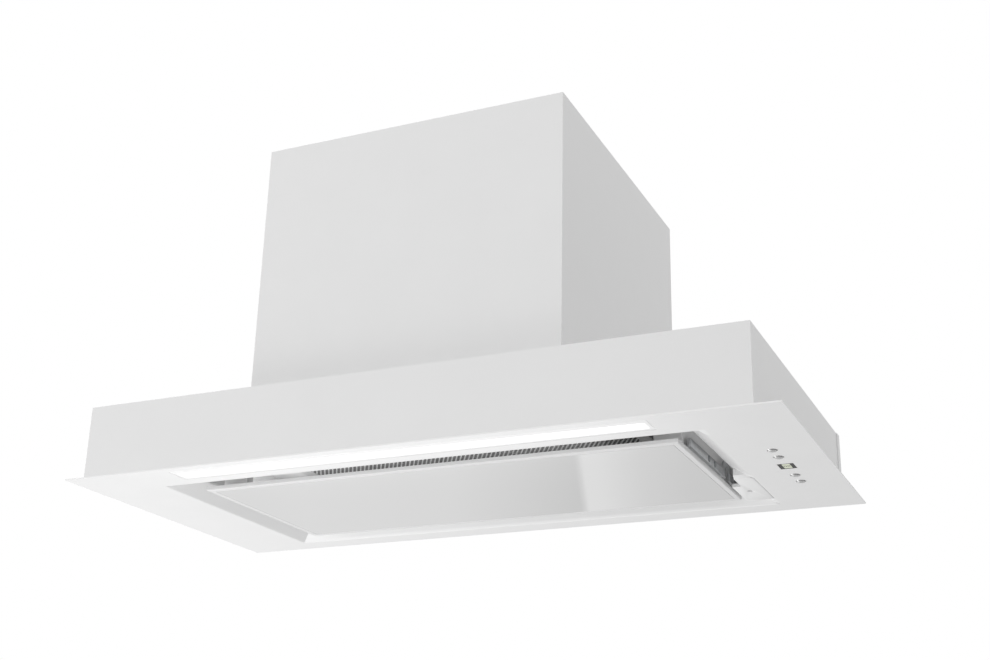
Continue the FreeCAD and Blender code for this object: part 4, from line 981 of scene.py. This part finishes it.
@dataclass(frozen=True)
class Screw:
    """A screw's head: a low dome with a cross recess."""

    radius: float = 3.5 * MM
    height: float = 1.3 * MM  # height of the dome at its edge
    crown: float = 0.7 * MM  # how far its middle stands above its edge
    slot: Pair = (0.8 * MM, 2.0 * MM)  # width and half of the length of the cross's arms
    depth: float = 0.8 * MM  # depth of the cross
    soft: float = 0.15 * MM  # width of the cross's soft edge
    rings: int = 15  # rings in the dome's inner part
    shares: Spot = (0.92, 0.97, 1.0)  # where that part ends and the last two rings lie, over the radius
    sides: int = 64  # steps round the head

    def inside(self, value: Array, limit: float) -> Array:
        """Return 1 where a value is within a limit, with a soft edge."""
        return np.clip((limit - abs(value)) / self.soft + 0.5, 0.0, 1.0)

    def add(self, skin: Skin, centre: Spot, facing: float = 1.0) -> None:
        """Add the head: dome height less the cross's depth, on a grid of rings and angles, and its side.

        Args:
            skin: Where it is added.
            centre: Where its underside meets the axis.
            facing: 1 if it points up, -1 if down.
        """
        share = np.concatenate([np.linspace(0.0, self.shares[0], self.rings), self.shares[1:]])[:, None]
        angle = np.linspace(0.0, math.tau, self.sides, endpoint=False)[None]
        x, y = self.radius * share * np.cos(angle), self.radius * share * np.sin(angle)
        dome = self.height + self.crown * (1.0 - share**2)
        width, reach = self.slot
        arms = [self.inside(one, width / 2) * self.inside(other, reach) for one, other in ((x, y), (y, x))]
        top = np.stack([x, y, (dome - self.depth * np.maximum(*arms)) * facing], axis=-1)
        foot = top[-1:] * (1.0, 1.0, 0.0)
        skin.grid(np.concatenate([top, foot]) + np.array(centre), round_columns=True)
        skin.faces.append(list(range(skin.count - self.sides, skin.count)))


@dataclass
class HingeHardware:
    """Rivets in the hinge arms, the arms themselves and the white cover with its screw."""

    rivet_x: float = 0.3135  # outer face of an arm, along X
    rivet_rows: Pair = (0.016, -0.008)  # middles of the rivets, along Y
    rivet_z: float = 9 * MM  # their height
    rivet: Pair = (4 * MM, 1.5 * MM)  # radius and height of a rivet's head
    screw: Screw = Screw(radius=3.9 * MM, height=1.5 * MM, crown=0.4 * MM)  # the cover's screw
    screw_place: Spot = (0.331, 0.1105, 1.7 * MM)  # its middle, and the height that its head is sunk to
    soft: Pair = (0.35 * MM, 0.7 * MM)  # radius of the arms' edges and of the cover's
    cover_side: Pair = (0.347, 0.3497)  # outer side of the cover along X: in the CAD model, and drawn out

    def rivets(self) -> None:
        """Make the rivets' heads: half ellipses turned about X."""
        profile = np.concatenate([[(0.0, 0.0)], arc((0.0, 0.0), 1.0, 0.0, 90.0) * self.rivet])
        skin = Skin()
        for side in (-1.0, 1.0):
            for row in self.rivet_rows:
                centre = (side * self.rivet_x, row, self.rivet_z)
                skin.grid(turned(profile, centre, axis="x", sides=32, facing=side), round_columns=True)
        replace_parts(skin.piece("arm_rivets", HINGE_STEEL, Body.PANEL.value), "hinge_rivets")

    def close_seam(self, cover: Piece) -> None:
        """Draw the cover's outer side out over the plate's rounded bend, so that no groove is left there.

        Args:
            cover: The cover.
        """
        side, drawn = self.cover_side
        for point in cover.data.vertices:
            if point.co.x > side - SNAP:
                point.co.x = drawn

    def build(self) -> None:
        """Make rivets, arms, cover and screw."""
        self.rivets()
        for side in ("left", "right"):
            softened(f"hinge_arm_{side}", f"pressed_arm_{side}", ZINC, Body.PANEL.value, self.soft[0])
        self.close_seam(softened("hinge_cover", "moulded_cover", WHITE_PLASTIC, Body.HOOD.value, self.soft[1]))
        softened("side_baffles", "folded_baffles", ENAMEL, Body.HOOD.value, self.soft[0])
        skin = Skin()
        self.screw.add(skin, self.screw_place, facing=-1.0)
        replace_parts(skin.piece("cover_screw_head", ENAMEL, Body.HOOD.value), "hinge_cover_screw")


@dataclass
class MotorBoxFittings:
    """Screws on the motor box and its collar, and the cable gland."""

    lid: float = 0.42  # height of the box's top
    lid_screws: Spot = (0.1945, -0.1855, 0.2095)  # the top's screws: half of their distance, and two rows
    collar: Spot = (0.0, 0.012, 0.424)  # middle of the collar and the height of its flange
    collar_circle: float = 0.0815  # radius of the circle of screws round it
    gland: Pair = (-0.1465, 0.1625)  # middle of the gland, along X and Y
    gland_ends: Pair = (0.409, 0.442)  # heights of the gland's lower and upper end
    gland_bore: float = 4 * MM  # radius of its bore
    gland_body: float = 9 * MM  # radius of its body
    nut: Pair = (11.2 * MM, 5.5 * MM)  # half of the nut's width across its flats, and its height
    chamfer: float = 0.6 * MM  # height of the nut's chamfers
    shoulder: Pair = (4 * MM, 1.6 * MM)  # how far below the gland's top the cap's shoulder starts and ends
    drawn_in: tuple[float, ...] = (0.95, 0.93, 0.93, 0.72)  # shares of the radius: foot, top, neck, mouth
    ribs: int = 16  # ribs round the gland's cap
    rib_depth: float = 0.7 * MM  # depth of the grooves between the ribs
    sides: int = 192  # steps round the gland

    def screws(self) -> None:
        """Make all heads as one piece."""
        head, skin = Screw(), Skin()
        half, *rows = self.lid_screws
        for row in rows:
            for x in (-half, half):
                head.add(skin, (x, row, self.lid))
        x, y, z = self.collar
        for along, deep in arc((x, y), self.collar_circle, 0.0, 270.0, steps=3):
            head.add(skin, (along, deep, z))
        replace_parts(skin.piece("pan_screws", ZINC, Body.HOOD.value), "case_screws")

    def cable_gland(self) -> None:
        """Make the gland: tail, hexagon nut and ribbed cap; the radius depends on height and on the angle.

        A hexagon's radius is its half width over the cosine of the angle from the nearest flat's middle, and
        the ribbed cap's is its body's less a groove that repeats round it.
        """
        angle = np.linspace(0.0, math.tau, self.sides, endpoint=False)
        hexagon = self.nut[0] / np.cos(np.mod(angle, math.pi / 3) - math.pi / 6)
        ribbed = self.gland_body - self.rib_depth * (0.5 + 0.5 * np.cos(self.ribs * angle)) ** 2
        plain, bore = np.full(self.sides, self.gland_body), np.full(self.sides, self.gland_bore)
        low, high = self.gland_ends
        nut_top = self.lid + self.nut[1]
        foot, top, neck, mouth = self.drawn_in
        rows = [
            (bore, low), (plain, low), (plain, self.lid), (hexagon * foot, self.lid),
            (hexagon, self.lid + self.chamfer), (hexagon, nut_top - self.chamfer), (hexagon * top, nut_top),
            (ribbed, nut_top), (ribbed, high - self.shoulder[0]), (ribbed * neck, high - self.shoulder[1]),
            (plain * mouth, high), (bore, high),
        ]
        radius = np.stack([row[0] for row in rows])
        height = np.broadcast_to(np.array([row[1] for row in rows])[:, None], radius.shape)
        x = self.gland[0] + radius * np.cos(angle)
        y = self.gland[1] + radius * np.sin(angle)
        skin = Skin().grid(np.stack([x, y, height], axis=-1), round_rows=True, round_columns=True)
        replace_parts(skin.piece("ribbed_gland", BLACK_PLASTIC, Body.HOOD.value), "cable_gland")

    def build(self) -> None:
        """Make the screws and the gland."""
        self.screws()
        self.cable_gland()


@dataclass(frozen=True)
class Lamp:
    """A soft box."""

    name: str
    place: Spot
    size: Pair  # width and height
    power: float  # in watts
    target: Spot = (-0.2, 0.0, 0.05)  # what it faces
    glossy: bool = False  # whether glossy faces mirror it

    def add(self) -> None:
        """Put it in the scene, where the camera doesn't see it."""
        light = bpy.data.lights.new(self.name, "AREA")
        light.shape = "RECTANGLE"
        light.size, light.size_y = self.size
        light.energy = self.power
        stand = bpy.data.objects.new(self.name, light)
        turn = (Vector(self.target) - Vector(self.place)).to_track_quat("-Z", "Y")
        stand.matrix_world = Matrix.Translation(self.place) @ turn.to_matrix().to_4x4()
        stand.visible_camera = False
        stand.visible_glossy = self.glossy
        bpy.context.scene.collection.objects.link(stand)


@dataclass
class Studio:
    """Camera and soft light in a white room."""

    eye: Spot = (0.7623, -1.5871, -0.463)  # place of the camera
    right: Spot = (0.91188, 0.40984, 0.02247)
    down: Spot = (-0.12846, 0.33697, -0.93271)
    ahead: Spot = (-0.38984, 0.84763, 0.35993)  # where it looks
    focal_mm: float = 52.72  # focal length of its lens
    sensor_mm: float = 36.0  # width of its sensor
    far: float = 60.0  # how far it sees
    sky: float = 0.530  # light from all round, on average
    sky_lean: Spot = (0.00, 0.06, -0.26)  # how much brighter the light is towards each axis
    mirror: tuple[Pair, ...] = (  # what glossy faces mirror: bearings in degrees from +Y, and levels
        (-45.0, 0.52), (-32.5, 0.535), (-30.1, 0.62), (-24.0, 0.64), (-21.1, 0.495), (-18.72, 0.33),
        (-18.5, 0.9), (-17.8, 0.87), (-16.1, 0.585), (-14.1, 0.435), (0.0, 0.45),
    )
    mirror_slant: float = -0.16  # how much those bands lean, in radians of bearing over the room's height
    mirror_floor: Spot = (-0.7, -0.35, 0.12)  # the mirrored room's fade downwards: end, start and last level
    lamps: tuple[Lamp, ...] = (  # three soft boxes outside, and small ones in the gaps and under the strip
        Lamp("low_soft_box", (-1.68, -0.31, -1.61), (2.4, 2.0), 40.0, glossy=True),
        Lamp("front_soft_box", (-0.42, -3.41, 1.08), (1.2, 1.0), 36.0),
        Lamp("right_soft_box", (2.17, -0.38, 2.34), (1.2, 1.0), 16.0),
        Lamp("cavity_fill", (-0.06, -0.02, 0.015), (0.45, 0.12), 0.2, (-0.06, -0.02, 0.1), glossy=True),
        Lamp("gap_fill", (0.3195, 0.0, 0.035), (0.2, 0.02), 0.003, (0.2, 0.0, 0.02), glossy=True),
        Lamp("strip_spill", (0.0, -0.2, -0.1), (0.6, 0.03), 0.07, (0.0, -0.199, 0.0)),
    )

    def camera(self) -> None:
        """Place the camera: its X is right, its Y is up and its Z is backwards."""
        lens = bpy.data.cameras.new("photo_camera")
        lens.sensor_fit = "HORIZONTAL"
        lens.sensor_width = self.sensor_mm
        lens.lens = self.focal_mm
        lens.clip_end = self.far
        stand = bpy.data.objects.new("photo_camera", lens)
        axes = np.eye(4)
        axes[:3, :4] = np.stack([self.right, -np.array(self.down), -np.array(self.ahead), self.eye], axis=1)
        stand.matrix_world = Matrix(axes.tolist())
        bpy.context.scene.collection.objects.link(stand)
        bpy.context.scene.camera = stand

    def leaning(self, bench: Bench, toward: Socket) -> Socket:
        """Light that grows evenly in one direction: the average times one plus the lean along the direction.

        Args:
            bench: Where it is wired.
            toward: Direction that is looked in.

        Returns:
            Strength of the light.
        """
        inputs = {0: toward, 1: self.sky_lean}
        lean = bench.node("ShaderNodeVectorMath", inputs, operation="DOT_PRODUCT").outputs["Value"]
        return bench.maths("MULTIPLY", bench.maths("ADD", lean, 1.0), self.sky)

    def mirrored(self, bench: Bench, toward: Socket) -> Socket:
        """Level that a glossy face mirrors: white above, and bands by bearing below.

        Args:
            bench: Where it is wired.
            toward: Direction that is looked in.

        Returns:
            Strength of the light.
        """
        parts = bench.axes(toward)
        bearing = bench.maths("ARCTAN2", parts["X"], parts["Y"])
        bearing = bench.maths("MULTIPLY_ADD", parts["Z"], self.mirror_slant, bearing)
        first, last = self.mirror[0][0], self.mirror[-1][0]
        share = bench.ranged(bearing, (math.radians(first), math.radians(last)))
        stops = [((degrees - first) / (last - first), grey(level)) for degrees, level in self.mirror]
        below = bench.maths("LESS_THAN", parts["Z"], 0.0)
        mix = bench.node("ShaderNodeMix", {0: below, 2: 1.0, 3: bench.ramp(share, stops)}, data_type="FLOAT")
        end, start, level = self.mirror_floor
        return bench.maths("MULTIPLY", mix.outputs[0], bench.ranged(parts["Z"], (end, start), (level, 1.0)))

    def world(self) -> None:
        """Light from all round; the camera sees plain white past the object, and glossy faces their bands."""
        world = bpy.context.scene.world = bpy.data.worlds.new("studio")
        world.use_nodes = True
        bench = Bench(world.node_tree)
        path = bench.node("ShaderNodeLightPath").outputs
        toward = bench.node("ShaderNodeTexCoord").outputs["Generated"]
        plain = bench.maths("MAXIMUM", path["Is Camera Ray"], path["Is Transmission Ray"])
        colour = (1.0, 1.0, 1.0, 1.0)
        sky, bands, white = (
            bench.node("ShaderNodeBackground", {"Color": colour, "Strength": strength}).outputs[0]
            for strength in (self.leaning(bench, toward), self.mirrored(bench, toward), 1.0)
        )
        inner = bench.node("ShaderNodeMixShader", {0: path["Is Glossy Ray"], 1: sky, 2: bands}).outputs[0]
        outer = bench.node("ShaderNodeMixShader", {0: plain, 1: inner, 2: white}).outputs[0]
        bench.node("ShaderNodeOutputWorld", {"Surface": outer})

    def build(self) -> None:
        """Set up camera and light."""
        bpy.context.scene.view_settings.view_transform = "Standard"
        self.camera()
        self.world()
        for lamp in self.lamps:
            lamp.add()


def dress_nodes() -> None:
    """Give every CAD node the finish of its record slot."""
    for row in frame["record"]["subparts"]:
        finish = FINISHES[row["material_slot"]]
        finish.dress(frame["nodes"][row["node"]].data)
        LOG.info("dressed %s in %s", row["node"], finish.name)


def main() -> None:
    """Dress the CAD nodes, make the new pieces and set up the studio."""
    logging.basicConfig(level=logging.INFO, format="%(name)s: %(message)s")
    dress_nodes()
    for assembly in (PressedPlate, InletPanel, LightStrip, Controls, HingeHardware, MotorBoxFittings):
        assembly().build()
        LOG.info("built %s", assembly.__name__)
    Studio().build()


if __name__ == "__main__":
    main()
